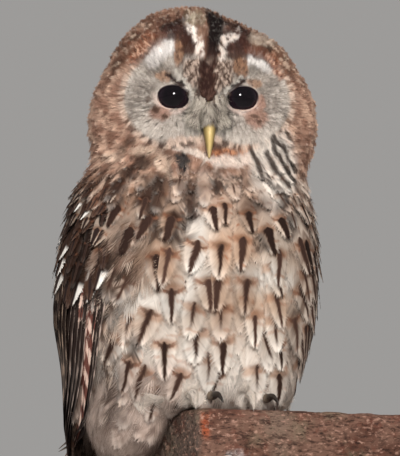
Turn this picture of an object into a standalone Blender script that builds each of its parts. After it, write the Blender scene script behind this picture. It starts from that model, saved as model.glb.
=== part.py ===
"""Tawny owl, life size, perched across the end of a cut length of timber on a plain display stand.

Units are metres and +Z is up. The trunk faces -Y and the bird's right is -X. The origin is on the
underside of the stand, straight below the middle of the bird. The head is turned to the bird's right.
"""

import math

import bmesh
import bpy
from mathutils import Matrix, Vector

# ---- driving dimensions ----
PERCH_TOP = 0.150            # height of the timber's top face
GAP = 0.0004                 # clear gap between neighbouring solids
WING_CLEARANCE = 0.0010      # gap round the curved plates of the wings and the tail
FOOT_CLEARANCE = 0.0009      # the feet are softened forms, so their seats in the legs are roomier

# Head, in its own frame: its origin is midway between the eyes' heights on the head's upright axis.
HEAD_CENTRE = Vector((-0.0015, -0.0075, PERCH_TOP + 0.193))
HEAD_TURN = math.radians(-23)        # towards the bird's right
HEAD_NOD = math.radians(8)           # face tipped down a little
CROWN_LEAN = 0.0075           # how far the crown's ruffled top stands towards the bird's right
HEAD_ROUNDNESS = 2.35                # exponent of the head's horizontal outlines
# height from the eye line, half width, front y, back y
HEAD_OUTLINE = (
    (-0.060, 0.053, -0.036, 0.061),
    (-0.046, 0.0635, -0.044, 0.0640),
    (-0.030, 0.0690, -0.049, 0.0635),
    (-0.014, 0.0710, -0.051, 0.0615),
    (0.004, 0.0680, -0.050, 0.0610),
    (0.020, 0.0600, -0.047, 0.0575),
    (0.034, 0.0515, -0.041, 0.0520),
    (0.046, 0.0400, -0.031, 0.0430),
    (0.0560, 0.0240, -0.0165, 0.0285),
    (0.0605, 0.0030, 0.0040, 0.0100),
)
EYE_SPACING = 0.0432
EYE_RADIUS = 0.0115
EYE_CENTRE_Y = -0.0335
DISH_DEPTH = 0.0085          # hollow of the facial disc round each eye
DISH_RADIUS = 0.021
DISH_CENTRE = (EYE_SPACING / 2 + 0.003, 0.001)       # distance from the middle, height
BROW_DEPTH = 0.0035          # shallow valley on each side of the forehead's ridge
BROW_RADIUS = 0.010
BROW_STRETCH = 1.6           # the valley is this much taller than it is wide
BROW_CENTRE = (0.017, 0.026)
FACE_BACK_Y = -0.012         # the face's hollows start in front of this and are full at FACE_FULL_Y
FACE_FULL_Y = -0.032
BILL_BASE = Vector((0, -0.040, -0.006))
BILL_TIP = Vector((0, -0.0540, -0.0385))
BILL_BULGE = 0.0080          # how far the culmen arches forward of its chord
BILL_RADIUS = 0.0058
BILL_TIP_RADIUS = 0.0007
BILL_SQUASH = 0.86           # its width over its height

# Trunk: height above the timber's top, half width, breast y, back y
TRUNK_ROUNDNESS = 2.3
TRUNK_OUTLINE = (
    (-0.006, 0.040, -0.010, 0.072),
    (0.004, 0.0560, -0.030, 0.080),
    (0.020, 0.0670, -0.044, 0.0815),
    (0.045, 0.0740, -0.052, 0.0810),
    (0.075, 0.0785, -0.057, 0.0835),
    (0.105, 0.0775, -0.059, 0.081),
    (0.130, 0.0740, -0.056, 0.0745),
    (0.150, 0.0670, -0.051, 0.0680),
    (0.168, 0.0560, -0.044, 0.0610),
)
# Downy masses that round off the trunk below: centre above the timber's top, radii
THIGHS = (Vector((0.030, -0.012, 0.020)), Vector((0.028, 0.028, 0.022)))
VENT = (Vector((-0.002, 0.056, -0.004)), Vector((0.046, 0.026, 0.048)))
FLANK_FRINGE = (Vector((-0.042, 0.016, 0.002)), Vector((0.022, 0.038, 0.034)))

PLUMAGE_VOXEL = 0.0030
PLUMAGE_FACES = 1230

# Levels that part the plumage, above the timber's top
NECK_TOP = 0.160
NECK_BOTTOM = 0.146
LEG_TOP = 0.028
LEG_BACK_Y = 0.024

# Folded wings, as a band on the trunk's own surface: angle 0 is the breast and 180 degrees the back
# height above the timber's top, front edge angle, back edge angle, thickness
WING_OUTLINE = (
    (0.1445, 80, 116, 0.0040),
    (0.136, 70, 136, 0.0080),
    (0.118, 65, 152, 0.0110),
    (0.090, 67, 166, 0.0120),
    (0.060, 73, 172, 0.0115),
    (0.030, 82, 173, 0.0100),
    (0.005, 90, 172, 0.0085),
    (-0.025, 106, 170, 0.0070),
    (-0.050, 124, 167, 0.0050),
    (-0.066, 140, 163, 0.0030),
)
# Trunk surface carried on below the belly, for the wing tips
WING_TIP_LEVELS = ((-0.075, 0.046, 0.020, 0.099), (-0.020, 0.0635, -0.012, 0.0895))
WING_PROUD = 0.0035          # how far the wing stands out of the trunk's outline
WING_EDGE = 0.04             # share of its width over which the wing keeps its blunt edge
WING_ROWS = 18
WING_COLUMNS = 9

# Tail: a closed fan, from its root to its rounded end
TAIL_ROOT = Vector((0, 0.066, 0.020))
TAIL_TIP = Vector((0, 0.0875, -0.103))
TAIL_ROOT_WIDTH = 0.046
TAIL_END_WIDTH = 0.064
TAIL_ROOT_THICKNESS = 0.011
TAIL_END_THICKNESS = 0.003
TAIL_ARCH = 0.005            # the fan's edges lie this far in front of its middle
TAIL_ROUNDED_FROM = 0.8      # share of the length where the end starts to round off
TAIL_END_NARROWING = 0.86

# Feet
FOOT_X = 0.019
FOOT_Y = -0.012
SHANK_HEIGHT = 0.0085        # middle of the feathered shank's foot end
SHANK_RADII = Vector((0.0078, 0.0085, 0.0084))
TOE_RADIUS = 0.0052
TOE_END = 0.6                # radius of the toe's blunt end over TOE_RADIUS
TOE_VOXEL = 0.0011
TOE_DETAIL = 0.05            # share of the softened foot's faces that is kept
BURIED_TOES = (1, 4)          # their claws lie inside the leg's plumage
TOE_LENGTHS = (0.020, 0.024, 0.023, 0.019)           # toes 1 (hind), 2, 3 and 4
TOE_ANGLES = (178, -14, 14, 78)                      # from straight ahead, outward positive
CLAW_RADIUS = 0.0026
CLAW_TIP_RADIUS = 0.0004
CLAW_REACH = 0.0108          # how far the claw's tip is ahead of its root
CLAW_ARCH = 0.0032           # how far the claw rises before it turns down
CLAW_ROOT_RISE = 0.0006      # its root lies this far above the toe's middle line
CLAW_TIP_HEIGHT = 0.0012     # its tip ends this far above the timber
CLAW_STEPS = 6

# Perch and stand
TIMBER_LENGTH = 0.167
TIMBER_LEFT = -0.026
TIMBER_FRONT = -0.050
TIMBER_WIDTH = 0.072
TIMBER_HEIGHT = 0.068
TIMBER_EDGE = 0.006
BASE_SIZE = (0.240, 0.200, 0.014)
BASE_CENTRE = (0.034, 0.008)
BASE_CORNER = 0.020
BASE_EDGE = 0.002
ROD_RADIUS = 0.005
ROD_X = (0.012, 0.096)
ROD_Y = -0.012

MATERIALS = {
    "plumage": ((0.62, 0.55, 0.48), 0.9, 0.0),
    "wing_plumage": ((0.26, 0.19, 0.15), 0.85, 0.0),
    "eye": ((0.012, 0.008, 0.014), 0.06, 0.0),
    "bill": ((0.72, 0.63, 0.33), 0.4, 0.0),
    "claw": ((0.05, 0.05, 0.055), 0.35, 0.0),
    "toe_plumage": ((0.66, 0.60, 0.52), 0.9, 0.0),
    "timber": ((0.33, 0.21, 0.16), 0.85, 0.0),
    "stand": ((0.06, 0.06, 0.065), 0.5, 0.0),
}


# ---- general helpers ----
def clear_scene():
    for obj in list(bpy.data.objects):
        bpy.data.objects.remove(obj)


def new_collection(name):
    collection = bpy.data.collections.new(name)
    bpy.context.scene.collection.children.link(collection)
    return collection


def material(name):
    colour, roughness, metallic = MATERIALS[name]
    found = bpy.data.materials.get(name)
    if found:
        return found
    made = bpy.data.materials.new(name)
    made.use_nodes = True
    shader = made.node_tree.nodes["Principled BSDF"]
    shader.inputs["Base Color"].default_value = (*colour, 1)
    shader.inputs["Roughness"].default_value = roughness
    shader.inputs["Metallic"].default_value = metallic
    return made


def add_object(name, mesh, collection, finish=None):
    obj = bpy.data.objects.new(name, mesh)
    collection.objects.link(obj)
    if finish:
        mesh.materials.clear()
        mesh.materials.append(material(finish))
    return obj


def mesh_from(bm, name):
    bmesh.ops.recalc_face_normals(bm, faces=bm.faces)
    mesh = bpy.data.meshes.new(name)
    bm.to_mesh(mesh)
    bm.free()
    mesh.shade_smooth()
    return mesh


def loft(name, rings, flat_ring=False):
    """A closed mesh through rings of equally many points. Each end is closed by a fan, or, where a ring is a
    thin band that goes out and comes back, by a strip across it. Faces are triangles, so a piece and its
    grown seat bend alike."""
    bm = bmesh.new()
    rows = [[bm.verts.new(point) for point in ring] for ring in rings]
    count = len(rows[0])
    for low, high in zip(rows, rows[1:]):
        for i in range(count):
            j = (i + 1) % count
            bm.faces.new((low[i], low[j], high[j]))
            bm.faces.new((low[i], high[j], high[i]))
    for row in (rows[0], rows[-1]):
        if flat_ring:
            for i in range(count // 2 - 1):
                bm.faces.new((row[i], row[i + 1], row[count - 2 - i], row[count - 1 - i]))
            continue
        middle = bm.verts.new(sum((v.co for v in row), Vector()) / count)
        for i in range(count):
            bm.faces.new((row[i], row[(i + 1) % count], middle))
    return mesh_from(bm, name)


def smooth_row(table, x):
    """The table's row at x, on a smooth curve through its rows, which are sorted by their first value."""
    rows = sorted(table)
    x = min(max(x, rows[0][0]), rows[-1][0])
    k = 0
    while k < len(rows) - 2 and x > rows[k + 1][0]:
        k += 1

    def slope(i, column):
        low, high = rows[max(i - 1, 0)], rows[min(i + 1, len(rows) - 1)]
        return (high[column] - low[column]) / (high[0] - low[0])

    span = rows[k + 1][0] - rows[k][0]
    t = (x - rows[k][0]) / span
    found = []
    for column in range(1, len(rows[0])):
        a, b = rows[k][column], rows[k + 1][column]
        found.append(
            a * (2 * t**3 - 3 * t**2 + 1)
            + b * (3 * t**2 - 2 * t**3)
            + span * slope(k, column) * (t**3 - 2 * t**2 + t)
            + span * slope(k + 1, column) * (t**3 - t**2)
        )
    return found


def outline_point(half_width, front, back, angle, roundness):
    """A point on a rounded outline; angle 0 is its front (-Y), a quarter turn its +X side."""
    s, c = math.sin(angle), math.cos(angle)
    reach = (abs(s) ** roundness + abs(c) ** roundness) ** (-1 / roundness)
    return half_width * reach * s, (front + back) / 2 - (back - front) / 2 * reach * c


def tapered_tube(name, points, radii, sides, squash=1.0):
    """A round-ended tube through points, thinning by radii; squash scales its width along X."""
    rings = []
    for i, point in enumerate(points):
        along = (points[min(i + 1, len(points) - 1)] - points[max(i - 1, 0)]).normalized()
        turn = along.to_track_quat("Z", "Y").to_matrix()
        ring = []
        for k in range(sides):
            a = 2 * math.pi * k / sides
            offset = turn @ Vector((math.cos(a), math.sin(a), 0)) * radii[i]
            ring.append(point + Vector((offset.x * squash, offset.y, offset.z)))
        rings.append(ring)
    return loft(name, rings)


def ellipsoid(name, centre, radii, collection, segments=28, rings=20):
    bm = bmesh.new()
    bmesh.ops.create_uvsphere(bm, u_segments=segments, v_segments=rings, radius=1)
    for v in bm.verts:
        v.co = Vector(a * b for a, b in zip(v.co, radii)) + centre
    return add_object(name, mesh_from(bm, name), collection)


def box(name, low, high, collection):
    bm = bmesh.new()
    bmesh.ops.create_cube(bm, size=1)
    for v in bm.verts:
        v.co = Vector(a + (b - a) * (c + 0.5) for a, b, c in zip(low, high, v.co))
    return add_object(name, mesh_from(bm, name), collection)


def as_guide(obj):
    """A helper that shapes other pieces and isn't a piece itself."""
    obj.hide_render = True
    obj.display_type = "WIRE"
    return obj


def evaluated_mesh(obj, name):
    graph = bpy.context.evaluated_depsgraph_get()
    return bpy.data.meshes.new_from_object(obj.evaluated_get(graph), depsgraph=graph)


def boolean(obj, other, operation):
    modifier = obj.modifiers.new(f"{operation}_{other.name}", "BOOLEAN")
    modifier.operation = operation
    modifier.object = other
    modifier.solver = "EXACT"


def above_perch(point):
    return Vector(point) + Vector((0, 0, PERCH_TOP))


# ---- plumage forms ----
def head_frame():
    """From the head's own frame to the world."""
    turn = Matrix.Rotation(HEAD_TURN, 4, "Z") @ Matrix.Rotation(HEAD_NOD, 4, "X")
    return Matrix.Translation(HEAD_CENTRE) @ turn


def face_hollow(x, y, h):
    """How far the face at this point lies behind the head's plain outline."""
    facing = min(max((FACE_BACK_Y - y) / (FACE_BACK_Y - FACE_FULL_Y), 0), 1)
    from_eye = math.hypot(abs(x) - DISH_CENTRE[0], h - DISH_CENTRE[1])
    from_brow = math.hypot(abs(x) - BROW_CENTRE[0], (h - BROW_CENTRE[1]) / BROW_STRETCH)
    dish = DISH_DEPTH * math.exp(-((from_eye / DISH_RADIUS) ** 2))
    brow = BROW_DEPTH * math.exp(-((from_brow / BROW_RADIUS) ** 2))
    return facing * (dish + brow)


def head_form(collection):
    low, high = HEAD_OUTLINE[0][0], HEAD_OUTLINE[-1][0]
    steps, around = 34, 56
    rings = []
    for i in range(steps + 1):
        # Rings crowd towards the crown, where the outline turns over.
        h = low + (high - low) * math.sin(math.pi / 2 * i / steps)
        half_width, front, back = smooth_row(HEAD_OUTLINE, h)
        lean = CROWN_LEAN * (max(h, 0) / high) ** 2
        ring = []
        for k in range(around):
            angle = 2 * math.pi * k / around
            x, y = outline_point(half_width, front, back, angle, HEAD_ROUNDNESS)
            ring.append(head_frame() @ Vector((x - lean, y + face_hollow(x, y, h), h)))
        rings.append(ring)
    return add_object("head_form", loft("head_form", rings), collection)


def trunk_form(collection):
    low, high = TRUNK_OUTLINE[0][0], TRUNK_OUTLINE[-1][0]
    steps, around = 28, 48
    rings = []
    for i in range(steps + 1):
        z = low + (high - low) * i / steps
        row = smooth_row(TRUNK_OUTLINE, z)
        ring = []
        for k in range(around):
            x, y = outline_point(*row, 2 * math.pi * k / around, TRUNK_ROUNDNESS)
            ring.append(above_perch((x, y, z)))
        rings.append(ring)
    return add_object("trunk_form", loft("trunk_form", rings), collection)


def join_forms(forms):
    with bpy.context.temp_override(active_object=forms[0], selected_editable_objects=forms):
        bpy.ops.object.join()
    return forms[0]


def plumage_form(collection):
    """Head, trunk, thighs and vent as one smooth closed form."""
    forms = [head_form(collection), trunk_form(collection)]
    for side in (-1, 1):
        centre = Vector((side * THIGHS[0].x, THIGHS[0].y, THIGHS[0].z))
        forms.append(ellipsoid("thigh_form", above_perch(centre), THIGHS[1], collection))
    for name, (centre, radii) in (("vent_form", VENT), ("fringe_form", FLANK_FRINGE)):
        forms.append(ellipsoid(name, above_perch(centre), radii, collection))
    whole = join_forms(forms)
    whole.name = "plumage_form"
    remesh = whole.modifiers.new("skin_over", "REMESH")
    remesh.mode = "VOXEL"
    remesh.voxel_size = PLUMAGE_VOXEL
    smooth = whole.modifiers.new("soften", "SMOOTH")
    smooth.factor = 0.5
    smooth.iterations = 6
    thin = whole.modifiers.new("thin_out", "DECIMATE")
    thin.ratio = 1.0
    faces = len(evaluated_mesh(whole, "count").polygons) * 2
    thin.ratio = PLUMAGE_FACES / faces
    mesh = evaluated_mesh(whole, "plumage")
    bpy.data.objects.remove(whole)
    return mesh


# ---- wings and tail ----
def wing_mesh(name, side, grow=0.0):
    """A folded wing as a curved plate on the trunk's side; grow makes the cutter for its seat."""
    low = WING_OUTLINE[-1][0] - grow
    high = WING_OUTLINE[0][0] + grow
    carried_on = (*TRUNK_OUTLINE[2:], *WING_TIP_LEVELS)
    rings = []
    for i in range(WING_ROWS + 1):
        z = low + (high - low) * i / WING_ROWS
        front, back, thickness = smooth_row(WING_OUTLINE, z)
        half_width, breast, rear = smooth_row(carried_on, z)
        edge = math.degrees(grow / half_width)
        outer, inner = [], []
        for k in range(WING_COLUMNS + 1):
            t = k / WING_COLUMNS
            angle = side * math.radians(front - edge + (back - front + 2 * edge) * t)
            fullness = math.sin(math.pi * min(max(t, WING_EDGE), 1 - WING_EDGE)) ** 0.5
            out = WING_PROUD * fullness + grow
            into = -(thickness - WING_PROUD) * fullness - grow
            for row, shift in ((outer, out), (inner, into)):
                x, y = outline_point(
                    half_width + shift, breast - shift, rear + shift, angle, TRUNK_ROUNDNESS
                )
                row.append(above_perch((x, y, z)))
        rings.append(outer + inner[::-1])
    return loft(name, rings, flat_ring=True)


def tail_mesh(name, grow=0.0):
    steps, around = 10, 16
    rings = []
    for i in range(steps + 1):
        t = i / steps
        centre = TAIL_ROOT.lerp(TAIL_TIP, t)
        half_width = (TAIL_ROOT_WIDTH + (TAIL_END_WIDTH - TAIL_ROOT_WIDTH) * t) / 2 + grow
        half_thick = (TAIL_ROOT_THICKNESS + (TAIL_END_THICKNESS - TAIL_ROOT_THICKNESS) * t) / 2
        rounding = max(t - TAIL_ROUNDED_FROM, 0) / (1 - TAIL_ROUNDED_FROM)
        half_width *= math.sqrt(1 - (rounding * TAIL_END_NARROWING) ** 2)
        ring = []
        for k in range(around):
            x, y = outline_point(half_width, -half_thick - grow, half_thick + grow,
                                 2 * math.pi * k / around, TRUNK_ROUNDNESS)
            sag = TAIL_ARCH * (x / half_width) ** 2
            ring.append(above_perch((x, centre.y + y - sag, centre.z)))
        rings.append(ring)
    return loft(name, rings)


# ---- bill, eyes and feet ----
def bill_points():
    """The bill's middle line, arched forward, from inside the face to the hooked tip."""
    steps = 9
    points = []
    for i in range(steps + 1):
        t = i / steps
        point = BILL_BASE.lerp(BILL_TIP, t)
        point.y -= BILL_BULGE * math.sin(math.pi * t) * (1 - 0.25 * t)
        points.append(head_frame() @ point)
    return points


def bill_mesh(name, grow=0.0):
    points = bill_points()
    last = len(points) - 1
    thinning = [(i / last) ** 2.2 for i in range(last + 1)]
    radii = [BILL_RADIUS + (BILL_TIP_RADIUS - BILL_RADIUS) * t + grow for t in thinning]
    return tapered_tube(name, points, radii, 14, BILL_SQUASH)


def eye_mesh(name, side, grow=0.0):
    bm = bmesh.new()
    bmesh.ops.create_uvsphere(bm, u_segments=16, v_segments=11, radius=EYE_RADIUS + grow)
    centre = head_frame() @ Vector((side * EYE_SPACING / 2, EYE_CENTRE_Y, 0))
    bmesh.ops.translate(bm, verts=bm.verts, vec=centre)
    return mesh_from(bm, name)


def toe_line(side, toe):
    """Ankle, mid toe and toe tip, above the timber's top, for toe 0 (hind) to 3 (outer)."""
    angle = math.radians(TOE_ANGLES[toe]) * side
    ahead = Vector((math.sin(angle), -math.cos(angle), 0))
    ankle = Vector((side * FOOT_X, FOOT_Y, TOE_RADIUS + GAP))
    tip = ankle + ahead * TOE_LENGTHS[toe]
    return ankle, tip, ahead


def foot_form(name, side, grow, collection):
    """Ankle and four feathered toes, lying on the timber, as one closed form."""
    parts = []
    for toe in range(4):
        ankle, tip, ahead = toe_line(side, toe)
        tip += ahead * grow * 1.5
        points = [ankle.lerp(tip, t) for t in (-0.15, 0.2, 0.55, 0.85, 1.0)]
        radii = [TOE_RADIUS * k + grow for k in (1.0, 1.08, 1.0, 0.92, TOE_END)]
        mesh = tapered_tube("toe_form", [above_perch(p) for p in points], radii, 12)
        parts.append(add_object("toe_form", mesh, collection))
    shank = above_perch((side * FOOT_X, FOOT_Y, SHANK_HEIGHT))
    radii = SHANK_RADII + Vector((grow, grow, grow))
    parts.append(ellipsoid("shank_form", shank, radii, collection, 18, 12))
    whole = join_forms(parts)
    remesh = whole.modifiers.new("skin_over", "REMESH")
    remesh.mode = "VOXEL"
    remesh.voxel_size = TOE_VOXEL
    smooth = whole.modifiers.new("soften", "SMOOTH")
    smooth.iterations = 3
    thin = whole.modifiers.new("thin_out", "DECIMATE")
    thin.ratio = TOE_DETAIL
    mesh = evaluated_mesh(whole, name)
    bpy.data.objects.remove(whole)
    return mesh


def claw_mesh(name, side, toe, grow=0.0):
    """A curved, tapering claw that leaves the toe's tip level and turns down to the timber."""
    _, tip, ahead = toe_line(side, toe)
    start = tip + ahead * (TOE_RADIUS * TOE_END + GAP) + Vector((0, 0, CLAW_ROOT_RISE))
    drop = start.z - CLAW_TIP_HEIGHT
    points, radii = [], []
    for i in range(CLAW_STEPS + 1):
        t = i / CLAW_STEPS
        ahead_by = CLAW_REACH * math.sin(math.pi / 2 * t)
        rise = CLAW_ARCH * math.sin(math.pi * min(1, t * 1.35)) - drop * t**2.3
        points.append(above_perch(start + ahead * ahead_by + Vector((0, 0, rise))))
        radii.append(CLAW_RADIUS + (CLAW_TIP_RADIUS - CLAW_RADIUS) * t**1.4 + grow)
    if grow:
        points[0] -= ahead * grow
        points[-1] += (points[-1] - points[-2]).normalized() * grow
    return tapered_tube(name, points, radii, 7)


# ---- the pieces ----
def build_plumage(body, guides):
    plumage = plumage_form(guides)
    timber_seat = as_guide(box(
        "timber_seat",
        (TIMBER_LEFT - GAP, TIMBER_FRONT - GAP, PERCH_TOP - TIMBER_HEIGHT),
        (TIMBER_LEFT + TIMBER_LENGTH, TIMBER_FRONT + TIMBER_WIDTH + GAP, PERCH_TOP + GAP),
        guides))
    seats = {"timber": timber_seat}
    for side, word in ((-1, "right"), (1, "left")):
        seats[f"wing_{word}"] = as_guide(
            add_object(f"wing_seat_{word}", wing_mesh("wing_seat", side, WING_CLEARANCE), guides))
        seats[f"eye_{word}"] = as_guide(
            add_object(f"eye_seat_{word}", eye_mesh("eye_seat", side, GAP), guides))
        seats[f"foot_{word}"] = as_guide(
            add_object(f"foot_seat_{word}", foot_form("foot_seat", side, FOOT_CLEARANCE, guides), guides))
        for toe in BURIED_TOES:
            seats[f"claw_{word}_{toe}"] = as_guide(add_object(
                f"claw_seat_{word}_{toe}", claw_mesh("claw_seat", side, toe - 1, FOOT_CLEARANCE), guides))
    seats["tail"] = as_guide(add_object("tail_seat", tail_mesh("tail_seat", WING_CLEARANCE), guides))
    seats["bill"] = as_guide(add_object("bill_seat", bill_mesh("bill_seat", GAP), guides))

    far, half = 0.5, GAP / 2  # the regions' boxes reach far past the bird
    neck_top, neck_bottom = PERCH_TOP + NECK_TOP, PERCH_TOP + NECK_BOTTOM
    leg_top = PERCH_TOP + LEG_TOP
    regions = {
        "head": ((-far, -far, neck_top + half), (far, far, 2 * far)),
        "neck": ((-far, -far, neck_bottom + half), (far, far, neck_top - half)),
        "trunk": ((-far, -far, 0), (far, far, neck_bottom - half)),
        "leg_right": ((-far, -far, 0), (-half, LEG_BACK_Y - half, leg_top - half)),
        "leg_left": ((half, -far, 0), (far, LEG_BACK_Y - half, leg_top - half)),
    }
    cut_by = {
        "head": ("eye_right", "eye_left", "bill"),
        "neck": (),
        "trunk": ("wing_right", "wing_left", "tail", "timber"),
        "leg_right": ("timber", "foot_right", "wing_right", *[f"claw_right_{n}" for n in BURIED_TOES]),
        "leg_left": ("timber", "foot_left", "wing_left", *[f"claw_left_{n}" for n in BURIED_TOES]),
    }
    leg_room = as_guide(box("leg_room", (-far, -far, 0), (far, LEG_BACK_Y + half, leg_top + half),
                            guides))
    for name, (low, high) in regions.items():
        node = add_object(name, plumage.copy(), body, "plumage")
        boolean(node, as_guide(box(f"{name}_region", low, high, guides)), "INTERSECT")
        if name == "trunk":
            boolean(node, leg_room, "DIFFERENCE")
        for seat in cut_by[name]:
            boolean(node, seats[seat], "DIFFERENCE")


def build_wings_and_tail(body):
    for side, word in ((-1, "right"), (1, "left")):
        name = f"wing_{word}"
        add_object(name, wing_mesh(name, side), body, "wing_plumage")
    add_object("tail", tail_mesh("tail"), body, "wing_plumage")


def build_face(body):
    for side, word in ((-1, "right"), (1, "left")):
        name = f"eye_{word}"
        add_object(name, eye_mesh(name, side), body, "eye")
    add_object("bill", bill_mesh("bill"), body, "bill")


def build_feet(body, guides):
    for side, word in ((-1, "right"), (1, "left")):
        name = f"foot_{word}"
        add_object(name, foot_form(name, side, 0, guides), body, "toe_plumage")
        for toe in range(4):
            name = f"claw_{word}_{toe + 1}"
            add_object(name, claw_mesh(name, side, toe), body, "claw")


def build_timber(body):
    """A rough-sawn length with worn edges and slightly wavy faces."""
    bm = bmesh.new()
    bmesh.ops.create_cube(bm, size=1)
    size = (TIMBER_LENGTH, TIMBER_WIDTH, TIMBER_HEIGHT)
    for v in bm.verts:
        v.co = Vector((
            TIMBER_LEFT + (v.co.x + 0.5) * size[0],
            TIMBER_FRONT + (v.co.y + 0.5) * size[1],
            PERCH_TOP - (0.5 - v.co.z) * size[2],
        ))
    timber = add_object("perch_timber", mesh_from(bm, "perch_timber"), body, "timber")
    edges = timber.modifiers.new("worn_edges", "BEVEL")
    edges.width = TIMBER_EDGE
    edges.segments = 3


def build_stand(body):
    base_x, base_y, base_z = BASE_SIZE
    bm = bmesh.new()
    bmesh.ops.create_cube(bm, size=1)
    for v in bm.verts:
        v.co = Vector((
            BASE_CENTRE[0] + v.co.x * base_x,
            BASE_CENTRE[1] + v.co.y * base_y,
            (v.co.z + 0.5) * base_z,
        ))
    upright = [e for e in bm.edges if abs(e.verts[0].co.z - e.verts[1].co.z) > base_z / 2]
    bmesh.ops.bevel(bm, geom=upright, offset=BASE_CORNER, segments=6, profile=0.5, affect="EDGES")
    top = [e for e in bm.edges if all(v.co.z > base_z * 0.9 for v in e.verts)]
    bmesh.ops.bevel(bm, geom=top, offset=BASE_EDGE, segments=2, profile=0.5, affect="EDGES")
    add_object("stand_base", mesh_from(bm, "stand_base"), body, "stand")

    bottom = base_z + GAP
    top_z = PERCH_TOP - TIMBER_HEIGHT - GAP
    for x, word in zip(ROD_X, ("right", "left")):
        bm = bmesh.new()
        bmesh.ops.create_cone(bm, cap_ends=True, segments=24, radius1=ROD_RADIUS,
                              radius2=ROD_RADIUS, depth=top_z - bottom)
        bmesh.ops.translate(bm, verts=bm.verts, vec=(x, ROD_Y, (top_z + bottom) / 2))
        add_object(f"stand_rod_{word}", mesh_from(bm, "stand_rod"), body, "stand")


def main():
    clear_scene()
    body = new_collection("tawny_owl")
    guides = new_collection("guides")
    build_plumage(body, guides)
    build_wings_and_tail(body)
    build_face(body)
    build_feet(body, guides)
    build_timber(body)
    build_stand(body)


main()
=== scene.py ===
"""Looks of the perched tawny owl: skin, feathers, eyes, bill, claws, timber, stand, light and camera.

Metres, +Z up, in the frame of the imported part. The trunk faces -Y and the bird's right is -X.
"""

import math

import bmesh
import bpy
import numpy as np
from mathutils import Matrix, Vector
from mathutils.bvhtree import BVHTree


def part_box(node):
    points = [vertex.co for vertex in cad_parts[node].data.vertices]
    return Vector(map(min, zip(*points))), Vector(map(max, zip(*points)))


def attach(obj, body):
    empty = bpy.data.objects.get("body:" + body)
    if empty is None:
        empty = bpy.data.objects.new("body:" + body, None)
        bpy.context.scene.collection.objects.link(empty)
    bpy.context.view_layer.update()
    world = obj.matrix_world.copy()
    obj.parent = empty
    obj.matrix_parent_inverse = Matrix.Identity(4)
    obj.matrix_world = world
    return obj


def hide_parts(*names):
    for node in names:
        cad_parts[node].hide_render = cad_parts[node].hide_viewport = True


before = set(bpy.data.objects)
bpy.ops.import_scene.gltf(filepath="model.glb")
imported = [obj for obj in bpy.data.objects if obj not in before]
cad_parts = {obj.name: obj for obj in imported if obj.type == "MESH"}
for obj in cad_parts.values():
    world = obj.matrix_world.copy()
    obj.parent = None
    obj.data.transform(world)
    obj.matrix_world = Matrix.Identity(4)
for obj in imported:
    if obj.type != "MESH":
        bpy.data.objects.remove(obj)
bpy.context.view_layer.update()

# ---- places read from the frame ----
EYE_R = sum(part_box("eye_right"), Vector()) / 2
EYE_L = sum(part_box("eye_left"), Vector()) / 2
EYE_RADIUS = (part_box("eye_left")[1].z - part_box("eye_left")[0].z) / 2
TIMBER_LOW, TIMBER_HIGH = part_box("perch_timber")
PERCH_TOP = TIMBER_HIGH.z
HALF_APART = np.linalg.norm(np.array(EYE_L - EYE_R)) / 2         # of the eyes' centres
HEAD_NOD = math.radians(8)
EYE_FORWARD = 0.0335         # from the head's upright axis to the eyes' centres
TRUNK_AXIS_Y = 0.014
WING_RADIUS = 0.078

SIGN = {"right": -1, "left": 1}      # of X on each side of the bird
FLESH = ["head", "neck", "trunk", "leg_right", "leg_left", "wing_right", "wing_left", "tail",
         "foot_right", "foot_left"]


def head_matrix():
    """From the head's own frame (X to the bird's left, -Y ahead, Z up, origin level with the eyes)."""
    across = (EYE_L - EYE_R).normalized()
    turn = Matrix.Rotation(math.atan2(across.y, across.x), 4, "Z") @ Matrix.Rotation(HEAD_NOD, 4, "X")
    middle = (EYE_L + EYE_R) / 2
    return Matrix.Translation(middle - turn @ Vector((0, -EYE_FORWARD, 0))) @ turn


HEAD = head_matrix()
HEAD_ROT = np.array(HEAD.to_3x3())
HEAD_POS = np.array(HEAD.translation)


def to_head(points):
    return (points - HEAD_POS) @ HEAD_ROT


def from_head(points):
    return np.asarray(points, float) @ HEAD_ROT.T + HEAD_POS


# ---- small numeric helpers ----
def unit(a):
    return a / np.maximum(np.linalg.norm(a, axis=-1, keepdims=True), 1e-12)


def ramp(low, high, x):
    """0 at low, 1 at high, eased at both ends; low may be above high."""
    t = np.clip((x - low) / (high - low), 0, 1)
    return t * t * (3 - 2 * t)


def blob(x, y, centre, size):
    """A soft-edged oval: 1 inside, 0 outside."""
    d = np.sqrt(((x - centre[0]) / size[0]) ** 2 + ((y - centre[1]) / size[1]) ** 2)
    return ramp(1.25, 0.75, d)


def mix(a, b, t):
    t = np.asarray(t)
    if t.ndim == 1 and not (np.ndim(a) == np.ndim(b) == 1 and len(a) == len(t)):
        t = t[:, None]
    return a + (b - a) * t


def rgb(r, g, b):
    """An 8-bit screen colour as linear light."""
    c = np.array([r, g, b]) / 255
    return np.where(c <= 0.04045, c / 12.92, ((c + 0.055) / 1.055) ** 2.4)


WHITE = rgb(236, 230, 222)
CREAM = rgb(212, 194, 178)
BUFF = rgb(190, 154, 127)
RUFOUS = rgb(172, 98, 60)
GREY_BROWN = rgb(140, 122, 108)
MID_BROWN = rgb(100, 74, 60)
DARK = rgb(58, 41, 35)
BLACKISH = rgb(34, 27, 28)


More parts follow.
